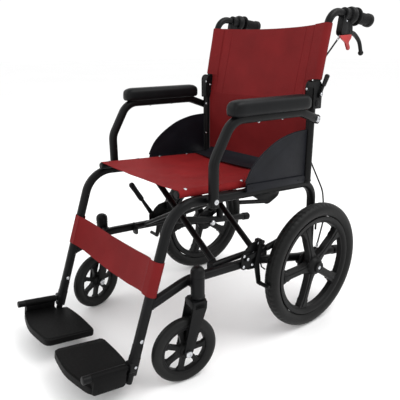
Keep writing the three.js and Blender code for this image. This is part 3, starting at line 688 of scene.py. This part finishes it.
fitted(armrest_tube, "frame_paint", "frame")
fitted(armrest_pivot_bolt, "bolt_steel", "frame")
for pad in fitted(armrest_pad, "armrest_pad", "frame", angle=60).values():
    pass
arm_screws = [bolt((ARM_X + 3, y, ARM_TOP_Z - 13.4), (0.5, 0, -1), 2.6, 2.2) for y in (-240, -150)]
pair("arm_screws", join(*arm_screws), "bolt_steel", "frame")
arm_washer = lathe([(0, 0), (0, 7), (1.2, 7), (1.6, 6), (1.6, 0)], (ARM_X + 11.4, ARM_FRONT_Y, 488), "x", 28)
pair("arm_front_bolt", join(bolt((ARM_X + 12, ARM_FRONT_Y, 488), (1, 0, 0), 3, 2.4), arm_washer),
     "bolt_steel", "frame")
fitted(skirt_guard, "guard_plastic", "frame")
pair("guard_screws", join(*(bolt((245, y, 494 - 0.058 * (y + 259)), (1, 0, 0), 3, 1.8) for y in (-240, -50))),
     "black_plastic", "frame")


# ---- back ----
def cheek():
    outline = [(-17, 690.6), (-17, 752)]
    outline += [(1 + 18 * math.cos(a), 752 + 18 * math.sin(a))
                for a in (math.pi * (1 - k / 12) for k in range(13))]
    return rounded(outline + [(20, 752), (20, 690.6)], 3, 2)


def back_hinge_housing():
    y, z = BACK_AXIS
    cheeks = [slab(cheek(), x0, x1, "x", 1.2) for x0, x1 in ((225, 229.4), (252.6, 257))]
    wall = [(-17, 690.8), (-12.2, 690.8), (-12.2, 752), (-7, 766), (-11, 767), (-17, 752)]
    front = plate(wall, 2, 226, 256, "x", 1)
    sole = box((226, 256), (-16, 19), (690.6, 693.4), 3, 0.8)
    return join(*cheeks, front, sole, x_rod(y, z, 223, 259, 5))


def back_cane():
    y, z = BACK_AXIS
    tube = sweep(bent(side(POST_X, [(y, z), HANDLE_CORNER, HANDLE_END]), [45]), CANE_R, 32)
    return join(tube, x_rod(y, z, POST_X - CANE_R, POST_X + CANE_R, 12, 32))


def back_release_lever():
    x = POST_X + 21
    bar = sweep(bent(side(x, [(3, 722), (12, 745), (30, 778)]), [60]), 4, 14)
    knob = sweep([(x, 19, 757), (x, 32, 782)], [6.2, 7.4], 18, 0.7)
    return join(bar, knob, x_rod(*RELEASE_PIVOT, x - 4.5, x + 3, 7))


def handle_axes():
    (y0, z0), (y1, z1) = HANDLE_CORNER, HANDLE_END
    return along_axes((0, y1 - y0, z1 - z0))


def hand_grip():
    profile = [(0, 0), (0, 22.6), (1.6, 26.2), (5.4, 26.8), (8, 22.6), (9.4, 16.8)]
    for k in range(8):
        start = 11 + 6.4 * k
        profile += [(start, 15.6), (start + 1.2, 17.3), (start + 4.4, 17.3), (start + 5.5, 15.6)]
    profile += [(63, 17.8), (65.6, 19.8), (76.6, 20), (79.4, 18.2), (80.8, 13), (80.8, 0)]
    return lathe(profile, (POST_X, *handle(168)), handle_axes(), 44)


def brake_perch():
    clamp = lathe([(0, 0), (0, 15.4), (2, 17.6), (30, 17.6), (32.2, 16), (32.2, 0)], (POST_X, *handle(112)),
                  handle_axes(), 40)
    collar = lathe([(-14, 0), (-14, 17), (-11, 22), (-4, 24.6), (5, 24.6), (11, 21.6), (15, 17.4),
                    (17, 15.4), (17, 0)], (POST_X, *handle(150)), handle_axes(), 40)
    body = plate([(106, 950), (98, 902), (104, 891), (128, 890), (132, 950)], 6, 231, 251, "x", 3.5, 3)
    outline = rounded([(120, 952), (118, 891), (148, 894), (154, 908), (146, 952)], 7)
    cheeks = [slab(outline, x0, x1, "x", 1.2) for x0, x1 in ((232, 235.6), (246.4, 250))]
    return join(clamp, collar, body, *cheeks, x_rod(*BRAKE_PIVOT, 231.6, 250.4, 3.2))


def brake_lever():
    path = bent(side(POST_X, [(141, 905), (176, 899), (206, 878), (218, 846)]), [50, 50])
    count = len(path) - 1
    radii = [7.4 - 1.4 * math.sin(math.pi * min(1, i / count * 1.25) * 0.5) for i in range(count + 1)]
    return join(sweep(path, radii, 18), x_rod(*BRAKE_PIVOT, 236.4, 245.6, 8), ball((POST_X, 218, 844), 8.4))


def brake_lock_lever():
    outline = [(86, 893), (144, 897), (142, 886), (130, 874), (139, 862), (132, 852), (122, 862), (116, 874),
               (98, 883)]
    knob = [(249.6, 0), (249.6, 5.6), (251, 6.8), (255, 6.8), (256.6, 5.6), (256.6, 0)]
    return join(plate(outline, 4, 250.5, 255.5, "x", 1.6, 3), lathe(knob, (0, 132, 859), "x", 28))


CABLE_R, CABLE_BENDS = 2.6, [60, 200, 90, 90]
CABLE = [(POST_X, 106, 892), (206, 54, 800), (198, 34, 560), (232, 92, 420), (243, 96, 330),
         (254.5, 52, 243.5)]


def cable_ends():
    top, bottom = Vector(CABLE[0]), Vector(CABLE[-1])
    adjuster = [(-8, 0), (-8, 4.2), (2, 4.2), (3, 3.4), (14, 3.4), (15, 0)]
    stop = [(-2, 0), (-2, 3.8), (11, 3.8), (12, 0)]
    upper = lathe(adjuster, top, along_axes(Vector(CABLE[1]) - top), 24)
    lower = lathe(stop, bottom, along_axes(Vector(CABLE[-2]) - bottom), 24)
    return upper, lower


fitted(back_hinge_housing, "black_plastic", "frame")
fitted(back_cane, "frame_paint", "back")
fitted(back_release_lever, "lever_paint", "release_lever")
fitted(hand_grip, "grip_rubber", "back")
fitted(brake_perch, "black_plastic", "back")
fitted(brake_lever, "lever_paint", "brake_lever")
fitted(brake_lock_lever, "red_plastic", "lock_lever")
pair("hinge_caps", join(*(lathe([(0, 0), (0, 9), (2, 8.6), (3.2, 6), (3.4, 0)], (x, *BACK_AXIS),
                                along_axes((d, 0, 0)), 32)
                          for x, d in ((257, 1), (225, -1)))), "black_plastic", "frame")
pair("hinge_screws", join(bolt((230, -16.6, 746), (0, -1, 0), 2.6, 2),
                          bolt((225, -2, 735), (-1, 0, 0), 3, 2.2)),
     "bolt_steel", "frame")
pair("release_screw", bolt((POST_X + 24.6, *RELEASE_PIVOT), (1, 0, 0), 3.6, 2.2), "bolt_steel",
     "release_lever")
pair("post_screws", join(*(bolt((POST_X - 8, POST_Y - 9, z), (-0.6, -0.8, 0), 2.2, 1.6) for z in (560, 668))),
     "bolt_steel", "frame")
pair("perch_bolts", bolt((250, 121, 934), (1, 0, 0), 2.6, 2), "bolt_steel", "back")
upper_end, lower_end = cable_ends()
pair("cable_adjuster", upper_end, "bolt_steel", "back")
pair("cable_stop", lower_end, "bolt_steel", "frame")
for which, sign in SIDES.items():
    route = [(sign * x, y, z) for x, y, z in bent(CABLE, CABLE_BENDS)]
    cable = piece(f"brake_cable_{which}", sweep(route, CABLE_R, 14), "cable_sheath", None,
                  [f"brake_cable_{which}"])
    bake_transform(cable)


# ---- rear wheels ----
def rear_tyre():
    """A balloon tyre with cross lugs and two grooves round the tread."""
    lugs, per_lug, across, middle, tall, wide = 66, 4, 44, 181.5, 21.5, 22.0
    segments = lugs * per_lug
    corners = []
    for k in range(segments):
        turn = 2 * math.pi * k / segments
        for j in range(across + 1):
            a = math.radians(-148 + 296 * j / across)
            tread = abs(math.degrees(a)) < 52
            groove = 1.7 if tread and (k + (2 if a > 0 else 0)) % per_lug == 0 else 0
            ring_groove = 1.4 if 13 < abs(math.degrees(a)) < 19 else 0
            bulge = abs(math.cos(a)) ** 0.92 * (1 if math.cos(a) > 0 else -1)
            r = middle + tall * bulge - max(groove, ring_groove)
            x = WHEEL_X + wide * math.copysign(abs(math.sin(a)) ** 0.92, a)
            corners.append(Vector((x, r * math.sin(turn), WHEEL_R + r * math.cos(turn))))
    n = across + 1
    faces = []
    for k in range(segments):
        base, after = k * n, ((k + 1) % segments) * n
        faces += [[base + j, base + j + 1, after + j + 1, after + j] for j in range(across)]
        faces.append([base + across, base, after, after + across])
    return corners, faces


def spokes_of(count, first, reach, half_width, flare, x0, x1, at, bevel):
    """Flat spokes that widen into the hub and the rim. `reach` is (inner, outer) radius."""
    made = []
    inner, outer = reach
    for i in range(count):
        turn = first + 2 * math.pi * i / count
        out, across = Vector((math.cos(turn), math.sin(turn))), Vector((-math.sin(turn), math.cos(turn)))
        left, right = [], []
        for k in range(15):
            t = k / 14
            width = half_width + flare * (max(0, 1 - t / 0.3) ** 2 * 0.6 + max(0, (t - 0.72) / 0.28) ** 2)
            middle = Vector(at) + out * (inner + (outer - inner) * t)
            left.append(tuple(middle + across * width))
            right.append(tuple(middle - across * width))
        made.append(slab(left + right[::-1], x0, x1, "x", bevel, 2))
    return join(*made)


def rear_wheel():
    at = (0, WHEEL_R)
    band = [(-16, 161), (-16.4, 152), (-14, 148.5), (-9, 145), (-8, 141), (8, 141), (9, 145), (14, 148.5),
            (16.4, 152), (16, 161)]
    rim = lathe([(x + WHEEL_X, r) for x, r in band], (0, *at), "x", 120)
    hub_profile = [(-17.5, 0), (-17.5, 25), (-16, 27), (-12, 31), (9, 31), (13, 29), (20, 26), (24, 22),
                   (25, 18.4), (31, 17.6), (32.4, 16), (32.6, 10), (31, 9), (31, 0)]
    hub = lathe([(x + WHEEL_X, r) for x, r in hub_profile], (0, *at), "x", 64)
    spokes = spokes_of(SPOKES, math.radians(FIRST_SPOKE), (22, 146), 11.5, 13, WHEEL_X - 10, WHEEL_X + 10,
                       at, 3.2)
    ribs = spokes_of(SPOKES, math.radians(FIRST_SPOKE), (26, 140), 3.2, 4, WHEEL_X - 11.6, WHEEL_X + 11.6,
                     at, 1.2)
    return join(rim, hub, spokes, ribs)


def rear_axle():
    profile = [(204, 0), (204, 8), (206, 10), (212.1, 10), (212.1, 6), (311, 6), (312, 4.6), (312, 0)]
    return lathe(profile, (0, 0, WHEEL_R), "x", 28)


def hub_brake():
    at = (0, 0, WHEEL_R)
    drum = lathe([(250.6, 0), (250.6, 34), (252, 38), (254.5, 40), (260.6, 40), (261.6, 39), (261.6, 0)],
                 at, "x", 56)
    anchor = plate([(20, 225), (34, 215), (60, 226), (60, 238), (44, 240)], 5, 251, 257)
    lever = plate([(30, 210), (54, 238), (47, 244), (22, 216)], 4, 249.4, 252.4, "x", 0.8)
    return join(drum, anchor, lever)


fitted(rear_tyre, "rear_tyre", "rear_wheel", angle=30)
fitted(rear_wheel, "wheel_plastic", "rear_wheel")
fitted(rear_axle, "bolt_steel", "frame")
fitted(hub_brake, "frame_paint", "frame")
pair("tyre_valve", rod((WHEEL_X + 4, 0, WHEEL_R + 142), (WHEEL_X + 4, 0, WHEEL_R + 121), 3, 16),
     "black_plastic", "rear_wheel")


# ---- casters, drawn about the swivel axis and then turned ----
CASTER_CENTRE = (-CASTER_TRAIL, CASTER_R)


def caster_place(which):
    turn = CASTER_TURN[which] * SIDES[which]
    return Matrix.Translation((*CASTER_AT, 0)) @ Matrix.Rotation(math.radians(turn), 4, "Z")


def caster_fork():
    stem = rod((0, 0, 222), (0, 0, 300), 8.4)
    nut = lathe([(236.9, 0), (236.9, 15), (238.4, 15), (238.6, 0)], (0, 0, 0), "z", 6)
    crown = box((-24, 24), (-26, 16), (217, 236.6), 7, 3.5)
    legs = []
    for x0, x1 in ((-24, -19), (19, 24)):
        foot = [(CASTER_CENTRE[0] + 13 * math.cos(a), CASTER_CENTRE[1] + 13 * math.sin(a))
                for a in (math.radians(5 - 190 * k / 16) for k in range(17))]
        legs.append(slab([(16, 233), (15, 214), *foot, (-26, 214), (-26, 233)], x0, x1, "x", 1.6, 2))
    return join(stem, nut, crown, *legs)


def caster_tyre():
    half = [(0, 94), (3.2, 93.9), (3.6, 93), (4.6, 93), (5, 93.7), (9, 92), (12, 88.8), (13.8, 84),
            (13.8, 80), (12.8, 75), (11, 70.4)]
    profile = half + [(-x, r) for x, r in half[:0:-1]]
    return lathe(profile, (0, *CASTER_CENTRE), "x", 96)


def caster_rim():
    at = CASTER_CENTRE
    band = [(-11, 71), (-11.2, 66), (-9, 62), (-6.6, 61), (6.6, 61), (9, 62), (11.2, 66), (11, 71)]
    hub = [(-16, 0), (-16, 13.6), (-14.6, 15), (-8, 18), (-7, 22), (7, 22), (8, 18), (14.6, 15), (16, 13.6),
           (16, 0)]
    return join(lathe(band, (0, *at), "x", 88), lathe(hub, (0, *at), "x", 48),
                spokes_of(CASTER_SPOKES, 0, (17, 66), 6.0, 9, -6.4, 6.4, at, 2.2))


def caster_axle():
    half = [(24.4, 8), (26, 9), (31, 9), (33, 6.5), (33.5, 3.4), (32, 3), (32, 0)]
    profile = [(-x, r) for x, r in half[::-1]] + [(-24.4, 5), (24.4, 5)] + half
    return lathe(profile, (0, *CASTER_CENTRE), "x", 28)


def posed_pair(build, slot, body, place, material=None):
    """Like fitted(), for pieces that stand at a different angle on each side."""
    name = build.__name__
    for which, sign in SIDES.items():
        shape = moved(build(), place(which))
        piece(f"{name}_{which}", mirrored(shape) if sign < 0 else shape, slot, f"{body}_{which}",
              [f"{name}_{which}"], material)


posed_pair(caster_fork, "frame_paint", "caster_swivel", caster_place)
posed_pair(caster_axle, "bolt_steel", "caster_swivel", caster_place)
posed_pair(caster_tyre, "caster_tyre", "caster_wheel", caster_place)
posed_pair(caster_rim, "wheel_plastic", "caster_wheel", caster_place)


# ---- parking brakes ----
def turned_about(pivot, angles):
    def place(which):
        there = Matrix.Translation((0, *pivot))
        return there @ Matrix.Rotation(math.radians(angles[which]), 4, "X") @ there.inverted()
    return place


def parking_brake_bracket():
    outline = [(-272, 252), (-210, 252), (-210, 272), (-242, 300), (-266, 300), (-274, 290)]
    base = plate(outline, 6, 239.5, 243.5, "x", 1)
    clamp = box((226, 240), (-264, -218), (248, 272), 3, 1.6, "x")
    outline = [(-262, 262), (-256, 306), (-234, 322), (-200, 327), (-188, 316), (-192, 262), (-212, 240),
               (-246, 244)]
    upright = plate(outline, 5, 235.4, 239.6, "x", 1, 2)
    tab = box((226, 240), (-206, -190), (300, 328), 3, 1.4, "x")
    link = sweep([(237.4, -192, 258), (238.4, -186, 236), (239.4, -172, 224)], 2.2, 12)
    return join(base, clamp, upright, tab, link, x_rod(*LEVER_PIVOT, 243, 252, 3),
                x_rod(*SHOE_PIVOT, 243, 256, 3))


def parking_brake_lever():
    y, z = LEVER_PIVOT
    outline = [(y - 9, z - 7), (y + 8, z - 8), (y + 84, z - 5), (y + 84, z + 5), (y - 4, z + 8)]
    blade = plate(outline, 4, 244.4, 249.4)
    profile = [(0, 0), (0, 7), (3, 9), (14, 9.6), (40, 8.8), (66, 9.8), (74, 9.8), (79, 7.4), (80.4, 4),
               (80.6, 0)]
    grip = lathe(profile, (247.4, y + 76, z), "y", 32)
    return join(blade, grip)


def parking_brake_shoe():
    y, z = SHOE_PIVOT
    outline = [(y - 9, z), (y + 4, z - 66), (y + 12, z - 73), (y + 19, z - 64), (y + 10, z), (y + 23, z + 66),
               (y + 16, z + 72), (y + 9, z + 66)]
    profile = [(251, 0), (251, 6), (258, 6), (258.4, 7), (259.6, 7), (260, 6), (292.6, 6), (294, 4.6),
               (294, 0)]
    peg = lathe(profile, (0, y + 12.2, z - 65), "x", 28)
    return join(plate(outline, 5, 250.4, 254.2, "x", 1), peg, x_rod(y + 15, z + 66, 249, 262, 6.5))


fitted(parking_brake_bracket, "frame_paint", "frame")
posed_pair(parking_brake_lever, "black_plastic", "parking_lever", turned_about(LEVER_PIVOT, LEVER_ANGLE))
posed_pair(parking_brake_shoe, "bolt_steel", "parking_shoe", turned_about(SHOE_PIVOT, SHOE_ANGLE),
           MATERIALS["frame_paint"])
pair("bracket_bolts",
     join(*(bolt((243.5, y, z), (1, 0, 0), 3.6, 2.6) for y, z in ((-264, 260), (-230, 258), (-262, 292))),
                           *(bolt((239.6, y, z), (1, 0, 0), 3, 2.2) for y,
                             z in ((-222, 291), (-199, 268), (-204, 316))),
                           *(bolt((252, y, z), (1, 0, 0), 3.4, 2.4) for y,
                             z in (LEVER_PIVOT, (SHOE_PIVOT[0], SHOE_PIVOT[1])))),
     "bolt_steel", "frame")


# ---- cross brace ----
def brace(step):
    """The brace hinged on the left rail that carries the right seat rail."""
    hinge = rod((HINGE_X, HINGE_Y[0], HINGE_Z), (HINGE_X, HINGE_Y[1], HINGE_Z), 9, 28)
    ends = [(-SEAT_RAIL_X, y, seat_z(y)) for y in SEAT_Y]
    shapes = [hinge, rod(*ends, SEAT_RAIL_R, 28)]
    for y0, y1 in BRACE_Y:
        low, high = Vector((HINGE_X, y0 + step, HINGE_Z)), Vector((-SEAT_RAIL_X, y1 + step, BRACE_TOP_Z))
        shapes.append(sweep([low, high], 1.0, section=oval(22, 13), cap=0))
        shapes.append(weld(low.lerp(high, 0.03), high - low, 9, 1.6))
    return join(*shapes)


def crossings():
    t = HINGE_X / (HINGE_X + SEAT_RAIL_X)
    return [(y0 + t * (y1 - y0), HINGE_Z + t * (BRACE_TOP_Z - HINGE_Z)) for y0, y1 in BRACE_Y]


piece("cross_brace_a", brace(0), "frame_paint", "brace_a", ["cross_brace_a"])
piece("cross_brace_b", mirrored(brace(BRACE_STEP)), "frame_paint", "brace_b", ["cross_brace_b"])
brace_bolts = [join(rod((0, y - 8, z), (0, y + 32, z), 5), bolt((0, y - 7, z), (0, -1, 0), 6, 3.6),
                    bolt((0, y + 29, z), (0, 1, 0), 6, 3.6)) for y, z in crossings()]
piece("brace_bolts", join(*brace_bolts), "bolt_steel", "brace_a")
for body, sign in (("brace_a", -1), ("brace_b", 1)):
    name = "left" if sign > 0 else "right"
    caps = [lathe([(0, 0), (0, 10.4), (3, 10.4), (5, 9), (5.4, 0)], (sign * SEAT_RAIL_X, y, seat_z(y)),
                  along_axes((0, d, 0)), 28)
            for y, d in ((SEAT_Y[0], -1), (SEAT_Y[1], 1))]
    piece(f"seat_rail_caps_{name}", join(*caps), "black_plastic", body)
    screws = [bolt((sign * (SEAT_RAIL_X + 2), y, seat_z(y) + SEAT_RAIL_R + 2.4), (sign * 0.2, 0, 1), 3.6, 2.2)
              for y in (-440, -332, -244, -128, -52)]
    piece(f"seat_screws_{name}", join(*screws), "bolt_steel", body)


# ---- fabric ----
def wrap(centre_x, radius, start, end, steps=14):
    """Points (x, rise) round a tube of the cross-section, by angle in degrees from +X."""
    return [(centre_x + radius * math.cos(math.radians(start + (end - start) * k / steps)),
             radius * math.sin(math.radians(start + (end - start) * k / steps))) for k in range(steps + 1)]


def lengths(line):
    total = [0.0]
    for a, b in zip(line, line[1:]):
        total.append(total[-1] + (Vector(b) - Vector(a)).length)
    return total


def at_share(line, total, share):
    """The point at a share of a line's length."""
    wanted = share * total[-1]
    for a, b, start, end in zip(line, line[1:], total, total[1:]):
        if wanted <= end:
            return Vector(a).lerp(Vector(b), (wanted - start) / max(end - start, 1e-9))
    return Vector(line[-1])


def ripple(x, y, size, height):
    return noise.noise(Vector((x / size, y / size, size))) * height


def cloth(name, point, flat, grid, slot, body=None, nodes=(), thickness=2.0):
    """A cloth piece of point(u, v) in mm, cut to flat (width, length) in metres, with its weave to scale."""
    across, down = grid
    made = piece(name, sheet(point, across, down, thickness), slot, body, nodes, angle=50)
    layer = made.data.uv_layers.new(name="cloth")
    per_face = (across + 1) * (down + 1)
    for loop in made.data.loops:
        index = loop.vertex_index % per_face
        layer.data[loop.index].uv = (index % (across + 1) / across * flat[0],
                                     index // (across + 1) / down * flat[1])
    return made


def smoothstep(t):
    t = min(1, max(0, t))
    return t * t * (3 - 2 * t)


# Seat: it wraps round both seat rails and sags a little between them.
seat_line = wrap(-SEAT_RAIL_X, SEAT_RAIL_R + 1.6, 212, 90) + wrap(SEAT_RAIL_X, SEAT_RAIL_R + 1.6, 90, -32)
seat_total = lengths(seat_line)
SEAT_WIDTH, SEAT_DEPTH = seat_total[-1] / 1000, (SEAT_Y[1] - SEAT_Y[0]) / 1000


def seat_point(u, v):
    x, rise = at_share(seat_line, seat_total, u)
    middle = max(0, 1 - (x / SEAT_RAIL_X) ** 2) if rise > 0 else 0
    y = SEAT_Y[0] + v * (SEAT_Y[1] - SEAT_Y[0]) + 9 * middle * (1 - v) ** 6
    sag = middle ** 0.8 * (8 + 5 * math.sin(math.pi * v) + ripple(x, y, 70, 2.4))
    pull = 1.3 * middle * math.exp(-(SEAT_RAIL_X - abs(x)) / 40) * math.cos((y + 440) / 104 * 2 * math.pi)
    return x, y, seat_z(y) + rise - sag + pull


seat = cloth("seat_sling", seat_point, (SEAT_WIDTH, SEAT_DEPTH), (120, 72), "seat_fabric",
             nodes=["seat_sling"])
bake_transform(seat)

# Back: sleeves sewn round the canes, a panel between them that folds with the canes, and a lower panel
# on the posts.
SLEEVE_R, SEAM_X, SLEEVE_LOW, BACK_TOP = CANE_R + 1.7, 201.0, 72.0, 224.0
up_cane = Vector((0, math.sin(BACK_LEAN), math.cos(BACK_LEAN)))
behind_cane = Vector((0, math.cos(BACK_LEAN), -math.sin(BACK_LEAN)))


def on_back(x, behind, height):
    return Vector((x, *BACK_AXIS)) + up_cane * height + behind_cane * behind


def panel_depth(x, height):
    """How far the back panel lies behind the canes' middle line. At the canes it lies in front of it."""
    edge = smoothstep((height - 40) / 60) * SLEEVE_R
    hollow = 3 + 11 * smoothstep(height / 150)
    share = max(0, 1 - (x / POST_X) ** 2)
    return -edge * (1 - share) ** 2.2 + hollow * share ** 1.1 + ripple(x, height, 90, 1.6) * share


def top_dip(x):
    return 4 * max(0, 1 - ((x - 30) / 235) ** 2)


def upper_point(u, v):
    x = -SEAM_X + 2 * SEAM_X * u
    height = v * BACK_TOP - top_dip(x) * v ** 3
    return on_back(x, panel_depth(x, height), height)


LOWER_END = 227.0


def lower_point(u, v):
    x = -LOWER_END + 2 * LOWER_END * u
    low, high = 488, BACK_AXIS[1] + 3
    share = max(0, 1 - (x / LOWER_END) ** 2)
    z = low + (high - low) * v
    hollow = share * (4 + 7 * math.sin(math.pi * (1 - v) * 0.6))
    creases = ripple(x, z, 80, 1.8) * share * (1 - v * 0.6)
    return Vector((x, -1.5 + hollow + creases, z))


def sleeve_line(height):
    front = panel_depth(SEAM_X, height)
    ring = wrap(POST_X, SLEEVE_R, -100, 108, 22)
    inner = [(SEAM_X - 1, front - 0.6), (SEAM_X + 14, front - 4)]
    outer = [(SEAM_X + 16, front + 3.4), (SEAM_X + 2, front + 1.8)]
    return inner + ring + outer


def sleeve_point(u, v):
    height = SLEEVE_LOW + (BACK_TOP + 1 - SLEEVE_LOW) * v
    line = sleeve_line(height)
    x, behind = at_share(line, lengths(line), u)
    slant = 9 * (1 - v) ** 3 * (1 - u)
    puff = 0.7 * math.sin(height / 13 + x) * (1 - abs(2 * u - 1))
    return on_back(x + puff * 0.4, behind - puff * 0.5, height - slant - top_dip(x) * v ** 3 * 0.9)


def flap_point(u, v):
    """The panel's straight edge beside the hinge, below the sleeve."""
    height = v * (SLEEVE_LOW + 3)
    x = SEAM_X - 1 + (226 - SEAM_X) * u
    return on_back(x, panel_depth(x, height) - 0.3, height)


upper_flat, lower_flat = (2 * SEAM_X / 1000, BACK_TOP / 1000), (0.456, 0.222)
back_upper = cloth("back_sling_upper", upper_point, upper_flat, (96, 60), "back_fabric", "back_right",
                   ["back_sling"])
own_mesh(back_upper)
back_lower = cloth("back_sling_lower", lower_point, lower_flat, (96, 48), "back_fabric", "frame_right")
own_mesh(back_lower)

def on_side(point, sign):
    """point(u, v) for the left side, or mirrored to the right where sign is -1."""
    def placed(u, v):
        x, y, z = point(u, v)
        return Vector((sign * x, y, z))
    return placed


def seam_threads(sign, count=44):
    """Two rows of short raised threads down the edge of the back panel."""
    threads = []
    for seam_x in (SEAM_X - 4, SEAM_X - 38):
        across = 0.5 + seam_x / SEAM_X / 2
        for k in range(count):
            a, b = (upper_point(across, (k + s) / count * 0.985 + 0.005) - behind_cane * 1.3
                    for s in (0.2, 0.75))
            path = [(sign * x, y, z) for x, y, z in (a, (a + b) / 2 - behind_cane * 0.3, b)]
            threads.append(sweep(path, 0.5, 6, 1.0))
    return join(*threads)


sleeve_flat, flap_flat = (0.114, (BACK_TOP + 1 - SLEEVE_LOW) / 1000), (0.026, 0.075)
for which, sign in SIDES.items():
    sleeve = cloth(f"back_sleeve_{which}", on_side(sleeve_point, sign), sleeve_flat, (46, 40), "back_fabric",
                   f"back_{which}", thickness=1.8)
    flap = cloth(f"back_flap_{which}", on_side(flap_point, sign), flap_flat, (8, 20), "back_fabric",
                 f"back_{which}")
    stitching = piece(f"back_stitches_{which}", seam_threads(sign), "back_fabric", "back_right",
                      material=THREAD)
    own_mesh(stitching)


# Calf strap: a wide band looped round both legs and slack between them.
STRAP_LOW, STRAP_HIGH, STRAP_END = 266.0, 352.0, 206.0
up_leg = Vector((0, LEG_LEAN, 1)).normalized()
behind_leg = Vector((0, 1, -LEG_LEAN)).normalized()
strap_height = (STRAP_HIGH - STRAP_LOW) / up_leg.z


def on_leg(x, behind, height):
    return Vector((x, *leg(STRAP_LOW))) + up_leg * height + behind_leg * behind


def strap_hang(x, v):
    share = max(0, 1 - (x / STRAP_END) ** 2)
    behind = 22 * share + 5 * math.sin(math.pi * v) * share - 13 * (1 - share) ** 5
    drop = -(21 - 7 * v) * share
    return behind + ripple(x, 90 * v, 60, 2.0) * share, drop


def strap_point(u, v):
    x = -STRAP_END + 2 * STRAP_END * u
    behind, drop = strap_hang(x, v)
    return on_leg(x, behind, v * strap_height + drop)


loop_line = [(STRAP_END - 1, -13.4)] + wrap(FRAME_X, TUBE_R + 2.0, -100, 100, 22) + [(STRAP_END + 2, 8)]
loop_total = lengths(loop_line)


def loop_point(u, v):
    x, behind = at_share(loop_line, loop_total, u)
    return on_leg(x, behind, v * strap_height)


strap_flat = (0.424, strap_height / 1000)
strap = cloth("calf_strap", strap_point, strap_flat, (96, 24), "strap_fabric", "frame_right", ["calf_strap"])
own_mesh(strap)
loop_flat = (loop_total[-1] / 1000, strap_height / 1000)
for which, sign in SIDES.items():
    loop = cloth(f"calf_strap_loop_{which}", on_side(loop_point, sign), loop_flat, (48, 20), "strap_fabric",
                 f"frame_{which}")


# Lap belt: a dark band of webbing laid in the crease between the seat and the back.
BELT_END, BELT_FLAT = 208.0, (0.418, 0.092)


def belt_line(x):
    """Points (y, z) of the belt from the seat up to the bottom of the back."""
    middle = max(0, 1 - (x / SEAT_RAIL_X) ** 2)

    def on_seat(y):
        return seat_z(y) + SEAT_RAIL_R + 5.6 - 6 * middle

    wave = 2 * math.sin(x / 52)
    return [(-92 + wave, on_seat(-92)), (-60, on_seat(-60) + 1.4 * math.sin(x / 37)),
            (-34, on_seat(-34) + 2.5),
            (-19, on_seat(-34) + 9), (-12 + 3 * middle, 511)]


def belt_point(u, v):
    x = -BELT_END + 2 * BELT_END * u
    line = smooth_line(belt_line(x), 4)
    return (x, *at_share(line, lengths(line), v))


belt = cloth("lap_belt", belt_point, BELT_FLAT, (90, 16), "webbing", "frame_right", ["lap_belt"],
             thickness=1.8)
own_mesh(belt)


# ---- studio and camera ----
# For each lamp: place, size in metres and power in watts.
LAMPS = {
    "key": ((1.6, 1.2, 3.4), 2.2, 60),
    "fill": ((-2.4, -2.6, 2.6), 2.6, 22),
    "front": ((2.4, -3.0, 2.0), 1.6, 16),
}
CAMERA_PLACE, CAMERA_BACK = (1.1324, -0.8675, 0.8560), (0.7466, -0.5921, 0.3034)
CAMERA_ROLL, CAMERA_LENS = -0.306, 42.49


def studio():
    floor_mesh = bpy.data.meshes.new("studio_floor")
    floor_mesh.from_pydata([(-40, -40, 0), (40, -40, 0), (40, 40, 0), (-40, 40, 0)], [], [[0, 1, 2, 3]])
    floor = bpy.data.objects.new("studio_floor", floor_mesh)
    bpy.context.scene.collection.objects.link(floor)
    material, tree, surface = shader("pale_floor", (0.96, 0.96, 0.96), 0.9, specular=0.02)
    patches = cloudy(tree, coordinates(tree, "Object"), 0.3)
    tree.links.new(ramp(tree, patches, (0.95, 0.95, 0.95), (0.97, 0.97, 0.97)), surface.inputs["Base Color"])
    floor_mesh.materials.append(material)
    world = bpy.data.worlds.new("studio")
    world.use_nodes = True
    world.node_tree.nodes["Background"].inputs["Color"].default_value = (1, 1, 1, 1)
    world.node_tree.nodes["Background"].inputs["Strength"].default_value = 1.04
    bpy.context.scene.world = world
    for name, (place, size, power) in LAMPS.items():
        light = bpy.data.lights.new(name, "AREA")
        light.size = size
        light.energy = power
        lamp = bpy.data.objects.new(name, light)
        lamp.location = place
        lamp.rotation_euler = (Vector((0, 0, 0.4)) - Vector(place)).to_track_quat("-Z", "Y").to_euler()
        bpy.context.scene.collection.objects.link(lamp)
    bpy.context.scene.view_settings.view_transform = "Standard"


def camera():
    lens = bpy.data.cameras.new("camera")
    lens.sensor_width = 36
    lens.lens = CAMERA_LENS
    lens.clip_end = 200
    back = Vector(CAMERA_BACK).normalized()
    right = Vector((-back.y, back.x, 0)).normalized()
    up = back.cross(right)
    roll = math.radians(CAMERA_ROLL)
    across = right * math.cos(roll) + up * math.sin(roll)
    above = up * math.cos(roll) - right * math.sin(roll)
    made = bpy.data.objects.new("camera", lens)
    made.matrix_world = Matrix((across, above, back)).transposed().to_4x4()
    made.matrix_world.translation = Vector(CAMERA_PLACE)
    bpy.context.scene.collection.objects.link(made)
    bpy.context.scene.camera = made


studio()
camera()
